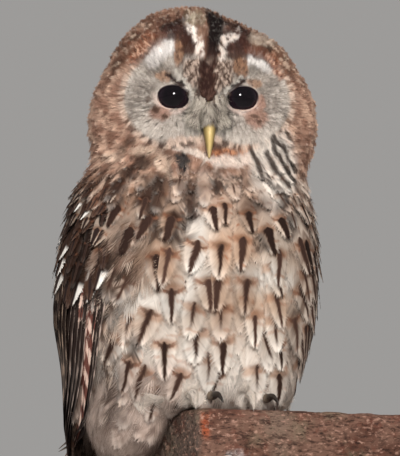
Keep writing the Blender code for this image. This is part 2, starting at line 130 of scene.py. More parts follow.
# ---- meshes ----
def mesh_object(name, verts, tris, material=None):
    mesh = bpy.data.meshes.new(name)
    verts = np.ascontiguousarray(verts, np.float32)
    tris = np.ascontiguousarray(tris, np.int32)
    mesh.vertices.add(len(verts))
    mesh.vertices.foreach_set("co", verts.ravel())
    mesh.loops.add(tris.size)
    mesh.loops.foreach_set("vertex_index", tris.ravel())
    mesh.polygons.add(len(tris))
    mesh.polygons.foreach_set("loop_start", np.arange(0, tris.size, 3, dtype=np.int32))
    mesh.update(calc_edges=True)
    mesh.validate()
    mesh.shade_smooth()
    if material:
        mesh.materials.append(material)
    return linked(bpy.data.objects.new(name, mesh))


def linked(obj):
    bpy.context.scene.collection.objects.link(obj)
    return obj


def mesh_arrays(mesh):
    mesh.calc_loop_triangles()
    co = np.empty(len(mesh.vertices) * 3, np.float32)
    mesh.vertices.foreach_get("co", co)
    no = np.empty(len(mesh.vertices) * 3, np.float32)
    mesh.vertices.foreach_get("normal", no)
    tri = np.empty(len(mesh.loop_triangles) * 3, np.int32)
    mesh.loop_triangles.foreach_get("vertices", tri)
    return co.reshape(-1, 3).astype(float), no.reshape(-1, 3).astype(float), tri.reshape(-1, 3)


def evaluated(obj):
    graph = bpy.context.evaluated_depsgraph_get()
    return bpy.data.meshes.new_from_object(obj.evaluated_get(graph), depsgraph=graph)


def point_colour(mesh, name, values):
    """A colour attribute on the points; three columns are filled up to four."""
    if values.shape[1] == 3:
        values = np.concatenate([values, np.ones((len(values), 1))], 1)
    layer = mesh.color_attributes.new(name, "FLOAT_COLOR", "POINT")
    layer.data.foreach_set("color", np.ascontiguousarray(values, np.float32).ravel())


def uv_map(mesh, name, values, tris):
    layer = mesh.uv_layers.new(name=name)
    layer.data.foreach_set("uv", np.ascontiguousarray(values[tris.ravel()], np.float32).ravel())


class Surface:
    """A closed triangle mesh that points can be laid on, with smooth normals."""

    def __init__(self, verts, normals, tris):
        self.verts, self.normals, self.tris = verts, normals, tris
        self.tree = BVHTree.FromPolygons([tuple(v) for v in verts], [tuple(t) for t in tris.tolist()])
        self.face_normals = unit(normals[tris].mean(1))
        a, b, c = self.corners(slice(None))
        self.areas = np.linalg.norm(np.cross(b - a, c - a), axis=1) / 2

    def corners(self, faces):
        return (self.verts[self.tris[faces, k]] for k in range(3))

    def snap(self, points):
        """Nearest places on the surface and the normals there."""
        nearest = [self.tree.find_nearest(point) for point in points.tolist()]
        place = np.array([tuple(found[0]) for found in nearest]).reshape(points.shape)
        faces = np.array([found[2] for found in nearest], int)
        a, b, c = self.corners(faces)
        # barycentric weights for the normal
        n = np.cross(b - a, c - a)
        area = np.maximum((n * n).sum(1), 1e-20)
        wa = (np.cross(c - b, place - b) * n).sum(1) / area
        wb = (np.cross(a - c, place - c) * n).sum(1) / area
        at_corners = self.normals[self.tris[faces]]
        normal = sum(at_corners[:, k] * w[:, None] for k, w in enumerate((wa, wb, 1 - wa - wb)))
        return place, unit(normal)

    def distance(self, points):
        return np.array([self.tree.find_nearest(p)[3] for p in points.tolist()])

    def scatter(self, spacing, rng, tries=9):
        """Points at least spacing(point) apart; where spacing gives 0 there are none."""
        local = spacing(self.verts[self.tris].mean(1), self.face_normals)
        weight = np.where(local > 0, self.areas / np.maximum(local, 1e-4) ** 2, 0)
        count = int(weight.sum() * tries)
        face = rng.choice(len(self.tris), count, p=weight / weight.sum())
        r1, r2 = np.sqrt(rng.random(count)), rng.random(count)
        a, b, c = self.corners(face)
        points = a * (1 - r1)[:, None] + b * (r1 * (1 - r2))[:, None] + c * (r1 * r2)[:, None]
        gaps = local[face]
        grid, kept = {}, []
        keys = np.floor(points / float(gaps.max())).astype(int).tolist()
        near = [(i, j, k) for i in (-1, 0, 1) for j in (-1, 0, 1) for k in (-1, 0, 1)]
        for n, (key, p, gap) in enumerate(zip(keys, points.tolist(), gaps.tolist())):
            limit = gap * gap
            if all((p[0] - q[0]) ** 2 + (p[1] - q[1]) ** 2 + (p[2] - q[2]) ** 2 >= limit
                   for i, j, k in near for q in grid.get((key[0] + i, key[1] + j, key[2] + k), ())):
                grid.setdefault(tuple(key), []).append(p)
                kept.append(n)
        return points[kept]


# ---- the outer form and the skin ----
def trunk_angle(points):
    """0 on the breast's middle, positive to the bird's left, pi at the back."""
    return np.arctan2(points[:, 0], -(points[:, 1] - TRUNK_AXIS_Y))


GROWN = 0.0007               # the solids are grown by this, to close the gaps between them
SKIN_VOXEL = 0.0021


def point_normals(verts, tris):
    face = np.cross(verts[tris[:, 1]] - verts[tris[:, 0]], verts[tris[:, 2]] - verts[tris[:, 0]])
    normal = np.stack([sum(np.bincount(tris[:, j], face[:, k], len(verts)) for j in range(3))
                       for k in range(3)], 1)
    return unit(normal)


def outer_form():
    """The flesh solids as one closed form, its surface where the solids' surfaces are."""
    verts, tris, start = [], [], 0
    for name in FLESH:
        co, _, tri = node_arrays(name)
        welded, back = np.unique(np.round(co, 6), axis=0, return_inverse=True)
        tri = back.ravel()[tri]
        verts.append(welded + point_normals(welded, tri) * GROWN)
        tris.append(tri + start)
        start += len(welded)
    obj = mesh_object("outer_form", np.concatenate(verts), np.concatenate(tris))
    remesh = obj.modifiers.new("one_form", "REMESH")
    remesh.mode = "VOXEL"
    remesh.voxel_size = SKIN_VOXEL
    smooth = obj.modifiers.new("soften", "SMOOTH")
    smooth.factor = 0.5
    smooth.iterations = 5
    co, no, tri = mesh_arrays(evaluated(obj))
    bpy.data.objects.remove(obj)
    co = co - no * GROWN * 0.5
    # the crown's plumage lies flatter on the bird's left
    x, y, h = to_head(co).T
    drop = 0.0040 * ramp(-0.004, 0.016, x) * ramp(0.050, 0.022, x) * ramp(0.020, 0.044, h)
    co = co - drop[:, None] * HEAD_ROT[:, 2]
    # hollows beside the bill, so that the eyes' lower inner corners are not buried
    half = (EYE_L - EYE_R).length / 2
    hollow = blob(np.abs(x) - half + 0.0082, h + 0.0058, (0, 0), (0.0052, 0.0048)) * ramp(-0.004, -0.024, y)
    co = co + 0.0030 * hollow[:, None] * HEAD_ROT[:, 1]
    # the mantle runs over the wings' upper edges without a step
    z = co[:, 2] - PERCH_TOP
    side = ramp(45, 75, np.degrees(np.abs(trunk_angle(co))))
    weight = ramp(0.106, 0.128, z) * ramp(0.172, 0.160, z) * side
    co = smooth_over(co, tri, len(co), 60, weight)
    return Surface(co, point_normals(co, tri), tri)


def joined(*surfaces):
    start, verts, normals, tris = 0, [], [], []
    for surface in surfaces:
        verts.append(surface.verts)
        normals.append(surface.normals)
        tris.append(surface.tris + start)
        start += len(surface.verts)
    return Surface(np.concatenate(verts), np.concatenate(normals), np.concatenate(tris))


def node_arrays(name):
    return mesh_arrays(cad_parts[name].data)


def node_surface(*names):
    return joined(*(Surface(*node_arrays(name)) for name in names))


def face_measures(points):
    """In the head's frame: x, y, h, distance from the nearer eye's axis, and how much it faces ahead."""
    x, y, h = to_head(points).T
    return x, y, h, np.hypot(np.abs(x) - HALF_APART, h), ramp(-0.004, -0.024, y)


def coat_depth(points):
    """How far the skin lies under the feathers' outline."""
    _, _, h, from_eye, ahead = face_measures(points)
    on_head = ramp(-0.066, -0.050, h)
    depth = np.full(len(points), 0.0052)
    depth = depth + (0.0040 - depth) * on_head
    face = on_head * ahead * ramp(0.040, 0.026, from_eye)
    depth = depth + (0.0022 - depth) * face
    depth = depth + (0.0004 - depth) * on_head * ahead * ramp(0.0145, 0.0105, from_eye)
    near_bill = ramp(0.010, 0.003, BILL.distance(points))
    depth = depth + (0.0012 - depth) * near_bill
    for surface, thin, reach in ((WING["right"], 0.0016, 0.003), (WING["left"], 0.0016, 0.003),
                                 (TAIL, 0.0013, 0.003), (FEET, 0.0009, 0.003)):
        near = ramp(reach, 0.0008, surface.distance(points))
        depth = depth + (thin - depth) * near
    return depth


def smooth_over(values, tris, count, rounds, weight=None):
    """Values on points averaged with their neighbours'; weight says how much, point by point."""
    pairs = np.concatenate([tris[:, [0, 1]], tris[:, [1, 2]], tris[:, [2, 0]]])
    degree = np.bincount(pairs.ravel(), minlength=count).astype(float)
    rows = values if values.ndim > 1 else values[:, None]
    share = 0.5 if weight is None else 0.5 * weight[:, None]
    for _ in range(rounds):
        total = np.stack([np.bincount(pairs[:, 0], rows[pairs[:, 1], k], count)
                          + np.bincount(pairs[:, 1], rows[pairs[:, 0], k], count)
                          for k in range(rows.shape[1])], 1)
        rows = rows + (total / degree[:, None] - rows) * share
    return rows if values.ndim > 1 else rows[:, 0]


OUTER = outer_form()
WING = {side: node_surface(f"wing_{side}") for side in ("right", "left")}
TAIL = node_surface("tail")
FEET = node_surface("foot_right", "foot_left")
BILL = node_surface("bill")


# ---- the lie of the feathers ----
BREAST_MIDDLE = math.radians(-10)    # the breast's parting is a little to the bird's right


def tangent(vectors, normals):
    return unit(vectors - normals * (vectors * normals).sum(1)[:, None])


def lie_of_body(points, normals):
    angle = trunk_angle(points)
    z = points[:, 2] - PERCH_TOP
    front = ramp(math.radians(100), math.radians(50), np.abs(angle))
    spread = np.sin(np.clip((angle - BREAST_MIDDLE) * 1.6, -math.pi / 2, math.pi / 2)) * 0.34
    across = np.stack([np.cos(angle), np.sin(angle), np.zeros_like(angle)], 1)
    down = np.array([0.0, 0.0, -1.0])
    back = np.array([0.0, 1.0, 0.0])
    way = np.tile(down, (len(points), 1))
    way = way + across * (spread * front)[:, None]
    way = way + back * ((1 - front) * 0.22 + ramp(0.03, -0.02, z) * 0.45)[:, None]
    return tangent(way, normals)


def lie_of_head(points, normals):
    x, y, h, from_eye, ahead = face_measures(points)
    radial = np.stack([x - np.sign(x) * HALF_APART, np.zeros_like(x), h], 1)
    outward = to_head(points) - np.array([0.0, -0.050, -0.008])      # from the bill's root
    # Between the eyes the feathers sweep up and outward from the bill.
    in_disc = ahead * ramp(0.040, 0.030, from_eye) * ramp(0.003, 0.012, np.abs(x))
    way = unit(outward) * (1 - in_disc)[:, None] + unit(radial) * (in_disc * 1.6)[:, None]
    behind = ramp(-0.005, 0.030, y)
    way = way + np.array([0.0, 0.25, -1.0]) * (behind * 1.7)[:, None]
    low = ramp(-0.030, -0.052, h)
    way = way + np.array([0.0, 0.0, -1.0]) * (low * 1.2)[:, None]
    return tangent(unit(way) @ HEAD_ROT.T, normals)


def lie(points, normals):
    h = to_head(points)[:, 2]
    on_head = ramp(-0.060, -0.046, h)
    return tangent(
        mix(lie_of_body(points, normals), lie_of_head(points, normals), on_head), normals)


def lie_of_wing(points, normals):
    way = np.tile(np.array([0.0, 0.36, -1.0]), (len(points), 1))
    return tangent(way, normals)


# ---- markings, shared by skin and coat ----
def value_noise(points, size, seed):
    """Smooth noise from 0 to 1 with lumps of about this size."""
    q = points / size + seed * 17.31
    base = np.floor(q).astype(np.int64)
    f = q - base
    f = f * f * (3 - 2 * f)
    total = np.zeros(len(points))
    for i in (0, 1):
        for j in (0, 1):
            for k in (0, 1):
                c = base + (i, j, k)
                mixed = (c[:, 0] * 73856093) ^ (c[:, 1] * 19349663) ^ (c[:, 2] * 83492791)
                hashed = ((mixed * 2654435761) & 0xFFFFFFFF) / 0xFFFFFFFF
                w = ((f[:, 0] if i else 1 - f[:, 0]) * (f[:, 1] if j else 1 - f[:, 1])
                     * (f[:, 2] if k else 1 - f[:, 2]))
                total += w * hashed
    return total


def stroke(x, y, line, half):
    """A soft-edged band, half its width given, along the straight pieces of a line."""
    nearest = np.full(len(x), 1e9)
    for (ax, ay), (bx, by) in zip(line[:-1], line[1:]):
        dx, dy = bx - ax, by - ay
        t = np.clip(((x - ax) * dx + (y - ay) * dy) / (dx * dx + dy * dy), 0, 1)
        nearest = np.minimum(nearest, np.hypot(x - ax - dx * t, y - ay - dy * t))
    return ramp(half * 1.45, half * 0.55, nearest)


def ovals(x, y, *given):
    """The strongest of several soft ovals, each its middle's x and y and its half sizes."""
    return np.maximum.reduce([blob(x, y, oval[:2], oval[2:]) for oval in given])


def bands(x, y, *given):
    """The strongest of several bands, each half its width and the points of its line."""
    return np.maximum.reduce([stroke(x, y, line[1:], line[0]) for line in given])


def head_markings(points):
    """Base colour, mark colour, mark width and cross-bar strength; places are in millimetres here."""
    x, _, h, from_eye, ahead = face_measures(points)
    x, h, from_eye = x * 1000, h * 1000, from_eye * 1000
    fine = value_noise(points, 0.0014, 1)
    small = value_noise(points, 0.0030, 2)
    coarse = value_noise(points, 0.0090, 3)
    lumps = value_noise(points, 0.0052, 11)
    # the feathers' edges break up every outline
    x = x + (value_noise(points, 0.0020, 4) - 0.5) * 2.6
    h = h + (value_noise(points, 0.0020, 5) - 0.5) * 2.6
    side = np.abs(x)

    # hood: soft brown and pinkish buff in overlapping lumps, paler on the neck
    base = mix(rgb(94, 66, 53), rgb(140, 104, 86), ramp(0.15, 0.65, coarse))
    base = mix(base, rgb(192, 158, 136), ramp(0.50, 0.80, lumps) * 0.75)
    base = mix(base, rgb(66, 44, 36), ramp(0.38, 0.18, lumps) * 0.7)
    base = mix(base, rgb(208, 186, 168), ramp(0.68, 0.85, small) * 0.35)
    neck = ramp(30, 46, side) * ramp(22, 4, h) * ramp(-52, -40, h)
    base = mix(base, mix(rgb(150, 112, 94), rgb(206, 172, 150), ramp(0.25, 0.75, lumps)), neck * 0.8)
    base = mix(base, rgb(96, 66, 54), ramp(0.32, 0.15, small) * neck * 0.6)

    def put(amount, colour, other=None, share=None):
        """Paints a colour, or a mixture of two, on what faces ahead."""
        nonlocal base
        base = mix(base, colour if other is None else mix(colour, other, share), ahead * amount)

    # the crown's outline: grizzled grey-brown
    crown_edge = ramp(35, 44, h + 0.0085 * x**2)
    put(crown_edge * 0.85, mix(rgb(64, 43, 34), rgb(120, 85, 68), lumps), rgb(190, 166, 146),
        ramp(0.60, 0.80, small))

    # facial disc: two overlapping rounds about the eyes, mottled grey
    reach = 29.5 + 1.2 * ramp(10, -10, h)
    disc = ramp(reach + 0.8, reach - 1.8, from_eye) * ramp(-33, -29, h)
    tone = mix(rgb(150, 140, 131), rgb(190, 180, 170), ramp(0.25, 0.75, value_noise(points, 0.0055, 6)))
    tone = mix(tone, rgb(106, 96, 88), ramp(0.56, 0.80, small) * 0.5)
    tone = mix(tone, rgb(216, 208, 199), ramp(0.60, 0.85, fine) * 0.5)
    rings = np.sin(2 * math.pi * (from_eye / 2.5 + value_noise(points, 0.0040, 12) * 1.8))
    put(disc, tone, rgb(112, 102, 94), ramp(0.1, 0.9, rings) * 0.45)
    width = np.full(len(points), 0.08) * (1 - disc * ahead)
    bars = np.full(len(points), 0.30) * (1 - disc * ahead)
    low_disc = blob(x, h, (-26, -20), (15, 8)) + blob(x, h, (28, -23), (15, 8))
    put(disc * low_disc.clip(0, 1) * 0.55, rgb(200, 190, 180))

    # white upper outer crescents, with a greyer zone under them
    greyer = blob(x, h, (-31, 18), (5, 3.5)) + blob(x, h, (28, 16.5), (4.5, 3.5))
    put(greyer.clip(0, 1) * 0.6, rgb(112, 106, 98))
    white = bands(x, h, (4.4, (-23.5, 31), (-28, 27), (-34, 21)), (2.8, (24, 23.5), (30, 22), (36, 18)))
    put(white * 0.9, rgb(196, 189, 184), rgb(230, 225, 221), ramp(20, 28, h + ramp(0, 10, x) * 7))

    # dark cap: over each side of the middle stripe and round the brown patches, dark-edged above
    cap = mix(rgb(58, 36, 32), BLACKISH, ramp(0.5, 0.8, small) * 0.6)
    cap = mix(cap, rgb(104, 74, 64), ramp(0.66, 0.85, fine) * 0.6)
    put(ovals(x, h, (-18, 39.5, 11, 5.5), (-12, 33, 4.5, 9)) * 0.95, cap)
    put(ovals(x, h, (18, 29.5, 10, 7), (19, 39, 11, 6)) * 0.95, cap)
    cap_edge = bands(x, h, (1.9, (-28, 43), (-20, 46), (-13, 49)),
                     (1.9, (6, 48), (20, 46), (30, 38), (39, 31)))
    put(cap_edge * 0.9, rgb(26, 18, 16))
    put(bands(x, h, (2.6, (-38, 37), (-27, 38)), (2.6, (25, 29), (33, 28), (39, 24))) * 0.9,
        rgb(88, 54, 42), RUFOUS, 0.08)
    put(blob(x, h, (-7, 49), (6.5, 4.5)) * 0.9, rgb(120, 108, 88), rgb(206, 192, 172), ramp(0.3, 0.7, small))
    put(blob(x, h, (35, 38), (9, 5)) * 0.8, rgb(138, 118, 102), rgb(196, 180, 164), small)

    # rusty rim patches beside the crescents, spotted, with a dark inner edge
    rusty = mix(rgb(138, 88, 66), rgb(212, 172, 146), ramp(0.55, 0.75, fine))
    put(bands(x, h, (3.6, (-45, 21), (-42, 28), (-36, 36.5)), (3.6, (39, 25), (42, 21), (45, 15))),
        rusty, rgb(74, 48, 38), ramp(0.42, 0.26, fine))
    put(bands(x, h, (0.9, (-42, 21.5), (-35, 28.5), (-31, 33)), (0.8, (27, 26), (34, 24), (38.5, 20))) * 0.8,
        rgb(70, 38, 30))

    # brown patches over the eyes
    put(ovals(x, h, (-18, 27, 3.2, 9), (19.5, 18, 4.8, 6.5)) * 0.95,
        rgb(148, 112, 88), rgb(82, 56, 44), ramp(0.55, 0.25, fine))
    put(blob(x, h, (-13, 29), (4.0, 4.5)) * 0.9, rgb(62, 38, 30))
    put(ovals(x, h, (-27, 11.5, 4.6, 3.4), (28, 8.5, 4.6, 2.8)) * 0.85,
        rgb(172, 138, 114), rgb(104, 78, 64), ramp(0.45, 0.2, fine))

    # streaked sides of the forehead: slanting pale dashes on brown
    forehead = ramp(16.5, 13.5, side) * ramp(-6, -1, h - side * 0.2) * ramp(24, 21, h)
    column = side / 2.5 - h * 0.10
    dash = np.sin(2 * math.pi * column) + 0.9 * np.sin(2 * math.pi * (h / 6.5 + np.floor(column) * 0.37))
    put(forehead * 0.95, rgb(82, 60, 50), rgb(206, 184, 168), ramp(-0.3, 0.8, dash + (fine - 0.5) * 1.6))

    # dark middle stripe, broad over the bill, and white mottled stripes beside it on the crown
    middle_x = -1.0 + ramp(18, 28, h) * 3.8 + ramp(28, 44, h) * 2.4
    half = 5.6 - 2.0 * ramp(10, 24, h) + 1.4 * ramp(30, 44, h) + (small - 0.5) * 2.5
    stripe = ramp(1.2, -0.8, np.abs(x - middle_x) - half) * ramp(-9.5, -6, h)
    put(stripe, rgb(50, 32, 28), rgb(26, 19, 18), ramp(22, 34, h))
    put(stripe * ramp(0.50, 0.80, fine) * ramp(24, 16, h) * 0.7, rgb(110, 82, 70))
    mottle = ramp(0.32, 0.48, value_noise(points, 0.0026, 7))
    beside = bands(x, h, (2.4, (-11, 43), (-8, 38), (-6, 33), (-5, 26)), (2.2, (8, 23.5), (9, 30), (10, 35)),
                   (2.2, (10, 36), (17, 38)))
    put(beside * mottle, rgb(240, 228, 218))

    # lores: grey, with fine dark lines; pale lines climb from the bill over the eyes' inner corners
    lores = ramp(17, 12, side) * ramp(3, -3, h - side * 0.45) * ramp(-27, -20, h) * (1 - stripe)
    strand = value_noise(to_head(points) * (1.0, 1.0, 0.35), 0.0015, 8)
    put(lores * 0.9, rgb(128, 122, 114), rgb(178, 172, 161), ramp(0.4, 0.7, strand))
    put(lores * ramp(0.40, 0.22, strand) * 0.8, rgb(48, 42, 42))
    put(ramp(8, 5, side) * ramp(-8, -11, h) * ramp(-24, -20, h) * 0.7, rgb(172, 165, 146))
    put(bands(x, h, (1.4, (-6, -8), (-9, -2), (-12.5, 6), (-20, 15)),
              (1.5, (6, -8), (8.5, -2), (13, 5), (20, 11))),
        rgb(204, 196, 186))
    put(bands(x, h, (1.5, (-12, -1), (-15.5, 6.5), (-22.5, 11)), (1.5, (12, -2), (15, 6), (22, 10))) * 0.95,
        rgb(30, 21, 22))
    put(bands(x, h, (1.0, (-15, -8), (-12, -16)), (1.0, (14, -7), (18, -12))) * 0.75, rgb(48, 42, 42))

    # pink-brown patches outside and below the eyes, with dark spots, and a pale ring on the lower rim
    ring = ramp(2.2, 0.6, np.abs(from_eye - 10.2)) * ramp(0, -4, h - (side - 21) * 0.3)
    put(ring * 0.8, rgb(206, 186, 175))
    put(ovals(x, h, (-29, -11, 6.5, 4.5), (29, -13, 7, 6), (32, -4, 2.6, 6)) * 0.8, rgb(162, 124, 107))
    spots = np.maximum(ovals(x, h, (-32, -8.5, 2.2, 2.4), (-26, -12.5, 1.8, 1.5)),
                       blob(x, h, (-36, -2), (2.0, 1.6)) * 0.7)
    spots = np.maximum(spots, ovals(x, h, (28, -12, 1.8, 1.5), (31, -15, 1.8, 1.5)) * 0.8)
    put(spots * 0.9, rgb(72, 50, 40))

    # under the disc: pinkish, a rusty line from the bill to the bird's left, then white
    put(blob(x, h, (-14, -29), (12, 3.5)) * 0.8, rgb(196, 170, 154))
    put(stroke(x, h, ((1, -35.5), (10, -34), (24, -32)), 2.1),
        rgb(118, 66, 40), rgb(196, 136, 98), ramp(0.45, 0.75, fine + (x - 10) * 0.012))
    put(stroke(x, h, ((4, -40.5), (18, -40), (32, -35)), 3.6) * 0.95, rgb(226, 210, 198))
    put(stroke(x, h, ((-20, -31.5), (-10, -34.5), (0, -39)), 1.9) * 0.95, rgb(222, 208, 196))

    # the ruff: dark beads along the disc's lower edge, large black and white ones to the bird's left
    along = np.degrees(np.arctan2(h, side - 21.6))
    rim = ramp(2.4, 1.2, np.abs(from_eye - reach - 0.6)) * ramp(26, 10, h)
    beads = ramp(-0.2, 0.6, np.sin(np.radians(along * 26) + (coarse - 0.5) * 9) + (small - 0.5) * 2.4)
    put(rim * 0.8, rgb(214, 190, 172), mix(rgb(132, 102, 84), rgb(66, 45, 37), ramp(-8, -24, h)), beads)
    ruff = blob(x, h, (44, -27), (9, 9)) * ramp(-1, 2, from_eye - reach)
    slant = (x * 0.68 + h * 0.73) / 5.6 + np.floor((x * 0.73 - h * 0.68) / 9.5) * 0.5
    put(ruff * 0.95, rgb(42, 28, 23), rgb(228, 210, 197),
        ramp(0.05, 0.55, np.cos(2 * math.pi * slant) + (small - 0.5) * 0.8))
    return base, np.tile(DARK, (len(points), 1)), width, bars


def right_flank(points):
    """1 on the downy grey-brown flank in front of the bird's right wing."""
    angle = np.degrees(trunk_angle(points))
    z = points[:, 2] - PERCH_TOP
    inner = angle + 20 * ramp(0.085, 0.045, z)
    return ramp(-38, -50, inner) * ramp(-80, -70, angle) * ramp(0.118, 0.098, z) * ramp(-0.03, 0.0, z)


# dark blotches: degrees round the trunk, millimetres over the perch, half width and half height
BLOTCHES = ((-44, 124, 5.5, 16), (-55, 150, 8, 8), (-14, 133, 3.4, 8), (-27, 141, 3, 9), (22, 131, 5, 9),
            (28, 111, 4, 8), (38, 116, 4, 7), (9, 99, 3.4, 6), (33, 57, 4, 8), (-31.5, 104, 3, 14),
            (-25, 118, 3, 10), (-53, 36, 3, 9), (-62, 128, 5, 10), (34, 142, 4, 8))

# where bold streaks run on from feather to feather: degrees round the trunk, millimetres over the perch
CHAINS = (((-25, 130), (-24, 76)), ((-8, 114), (-2, 62)), ((-34, 120), (-35, 94)), ((6, 104), (8, 82)),
          ((-15, 140), (-15, 122)), ((14, 124), (17, 104)), ((-50, 124), (-52, 92)), ((30, 126), (34, 84)),
          ((44, 120), (46, 76)))


def body_markings(points):
    """Base colour, mark colour, mark width and cross-bar strength on the trunk and legs."""
    angle = np.degrees(trunk_angle(points))
    z = points[:, 2] - PERCH_TOP
    fine = value_noise(points, 0.0040, 21)
    coarse = value_noise(points, 0.0160, 22)
    strands = value_noise(points * (1.0, 1.0, 0.25), 0.0019, 23)
    base = mix(CREAM, BUFF, ramp(0.40, 0.80, coarse) * 0.8)
    base = mix(base, WHITE, ramp(0.42, 0.15, coarse) * 0.8)
    base = base * mix(0.58, 0.90, fine)
    width = np.full(len(points), 0.26)
    bars = np.full(len(points), 0.60)
    mark = np.tile(rgb(42, 28, 23), (len(points), 1))

    belly = ramp(0.060, 0.020, z)
    base = mix(base, mix(WHITE, CREAM, fine * 0.4), belly * 0.85)
    width = width * (1 - belly * 0.35)
    bars = bars * (1 - belly * 0.5)
    lowest = ramp(0.024, 0.010, z)
    width = width * (1 - lowest * 0.6)
    loose = ramp(0.034, 0.018, z) * ramp(-20, -34, angle)
    base = mix(base, mix(rgb(200, 176, 162), rgb(146, 124, 112), ramp(0.3, 0.7, strands)), loose * 0.85)
    width = width * (1 - loose * 0.85)
    bars = bars * (1 - loose * 0.7)

    # buff upper breast, darkly mottled to both sides of its middle
    upper = ramp(0.100, 0.128, z)
    base = mix(base, mix(rgb(178, 152, 134), rgb(104, 74, 58), ramp(0.3, 0.7, fine)), upper * 0.85)
    bars = bars + upper * 0.3
    width = width + upper * 0.06
    mottled = upper * ramp(6, 18, np.abs(angle + 10)) * ramp(85, 65, np.abs(angle + 10))
    base = mix(base, rgb(64, 44, 35), mottled * ramp(0.50, 0.34, value_noise(points, 0.0058, 24)) * 0.9)
    width = width + mottled * 0.12

    # dark blotches on the upper breast and a few lower down
    a = angle + (value_noise(points, 0.0030, 25) - 0.5) * 7
    up = z * 1000 + (value_noise(points, 0.0030, 26) - 0.5) * 7
    base = mix(base, rgb(48, 33, 27), ovals(a, up, *BLOTCHES) * 0.92)

    # the downy grey-brown flank in front of the bird's right wing, with dark filaments
    down = right_flank(points)
    downy = mix(rgb(78, 59, 49), rgb(124, 98, 84), ramp(0.3, 0.7, coarse))
    downy = mix(downy, rgb(46, 33, 27), ramp(0.48, 0.32, strands) * 0.9)
    downy = mix(downy, rgb(214, 192, 174), ramp(0.58, 0.74, strands) * 0.85)
    base = mix(base, downy, down * 0.95)
    width = width * (1 - down * 0.5)
    bars = bars * (1 - down * 0.5)

    # the heavily marked left flank
    flank = ramp(24, 40, angle) * ramp(120, 90, angle) * ramp(0.0, 0.03, z)
    base = mix(base, mix(rgb(196, 179, 165), rgb(96, 74, 62), ramp(0.36, 0.66, fine)), flank * 0.85)
    width = width + flank * 0.18
    bars = bars + flank * 0.4

    # back: brown with dark streaks
    high_or_far = np.maximum(ramp(-0.010, 0.012, z), ramp(0.070, 0.078, points[:, 1]))
    behind = ramp(92, 112, np.abs(angle)) * high_or_far
    back = mix(mix(rgb(84, 60, 48), rgb(142, 108, 90), fine), rgb(120, 100, 88), ramp(0.3, 0.9, coarse) * 0.6)
    base = mix(base, back, behind)
    width = width + (0.24 - width) * behind
    bars = bars + (0.9 - bars) * behind

    vent = ramp(0.006, -0.008, z) * ramp(0.080, 0.070, points[:, 1])
    base = mix(base, mix(rgb(182, 162, 150), rgb(124, 104, 94), ramp(0.35, 0.7, strands)), vent)
    width = width * (1 - vent * 0.9)
    return base, mark, width, bars


def wing_markings(points):
    fine = value_noise(points, 0.0034, 31)
    coarse = value_noise(points, 0.0120, 32)
    base = mix(mix(rgb(38, 26, 21), rgb(74, 52, 41), ramp(0.2, 0.8, fine)), rgb(134, 100, 83),
               ramp(0.58, 0.90, coarse) * 0.7)
    number = len(points)
    return base, np.tile(mix(DARK, BLACKISH, 0.6), (number, 1)), np.full(number, 0.30), np.full(number, 0.85)


def throat_markings(points, base):
    """Dark blotches and pale streaks across the throat, painted over head and body alike."""
    x, y, h, _, _ = face_measures(points)
    x, h = x * 1000, h * 1000
    shake_x, shake_h = (value_noise(points, 0.0024, seed) - 0.5 for seed in (9, 10))
    u, w = x + shake_x * 1.6, h + shake_h * 1.6
    x, h = x + shake_x * 5, h + shake_h * 5
    front = ramp(0.012, 0.000, y)
    inky = ovals(x, h, (-15.5, -41, 4.2, 6.5), (-20, -38, 2.6, 2.0))
    base = mix(base, rgb(24, 24, 28), inky * front)
    dark = ovals(x, h, (-41, -41, 5.5, 5.5), (-48, -47, 5, 4), (-35, -64, 5, 7), (-32, -81, 4, 6),
                 (44, -61, 4, 8), (17, -49, 4, 2))
    dark = np.maximum(dark, stroke(x, h, ((-55, -38), (-46, -27)), 2.0) * 0.7)
    base = mix(base, rgb(44, 29, 23), dark * front * 0.92)
    # black and white chains that run from the ruff down the bird's left side
    base = mix(base, mix(WHITE, CREAM, 0.4), blob(u, w, (41, -44), (15, 20)) * front * 0.85)
    chain = bands(u, w, (1.5, (40, -24), (40, -31), (46, -39), (55, -50)),
                  (1.8, (26, -33), (31, -41), (33, -49), (46, -58), (49, -64)),
                  (1.8, (36, -34), (42, -44), (51, -54)), (0.9, (34, -42), (38, -49), (50, -60)),
                  (1.3, (41, -27), (46, -29), (49, -35), (56, -44)))
    base = mix(base, rgb(40, 27, 22), chain * front * 0.95)
    pale = ovals(x, h, (-28, -42, 5, 6), (-38, -34, 8, 3), (-57, -37, 6, 3.5))
    return mix(base, rgb(208, 184, 164), pale * front * (1 - dark) * 0.8)


def markings(points):
    """All of them, blended where head and body meet."""
    h = to_head(points)[:, 2]
    on_head = ramp(-0.052, -0.044, h)
    found = [mix(a, b, on_head) for a, b in zip(body_markings(points), head_markings(points))]
    found[0] = throat_markings(points, found[0])
    return found


# ---- feathers ----
class Shape:
    """A feather's outline: v from root 0 to tip 1, u from -1 to 1 across, and how far each tip strays."""

    def __init__(self, u, v, stray, tris):
        self.u, self.v, self.stray, self.tris = np.array(u), np.array(v), np.array(stray), np.array(tris)


LAST_BARB = 0.965             # where the last barb leaves the shaft
VANE_END = 1.03               # how far the barbs' tips can reach


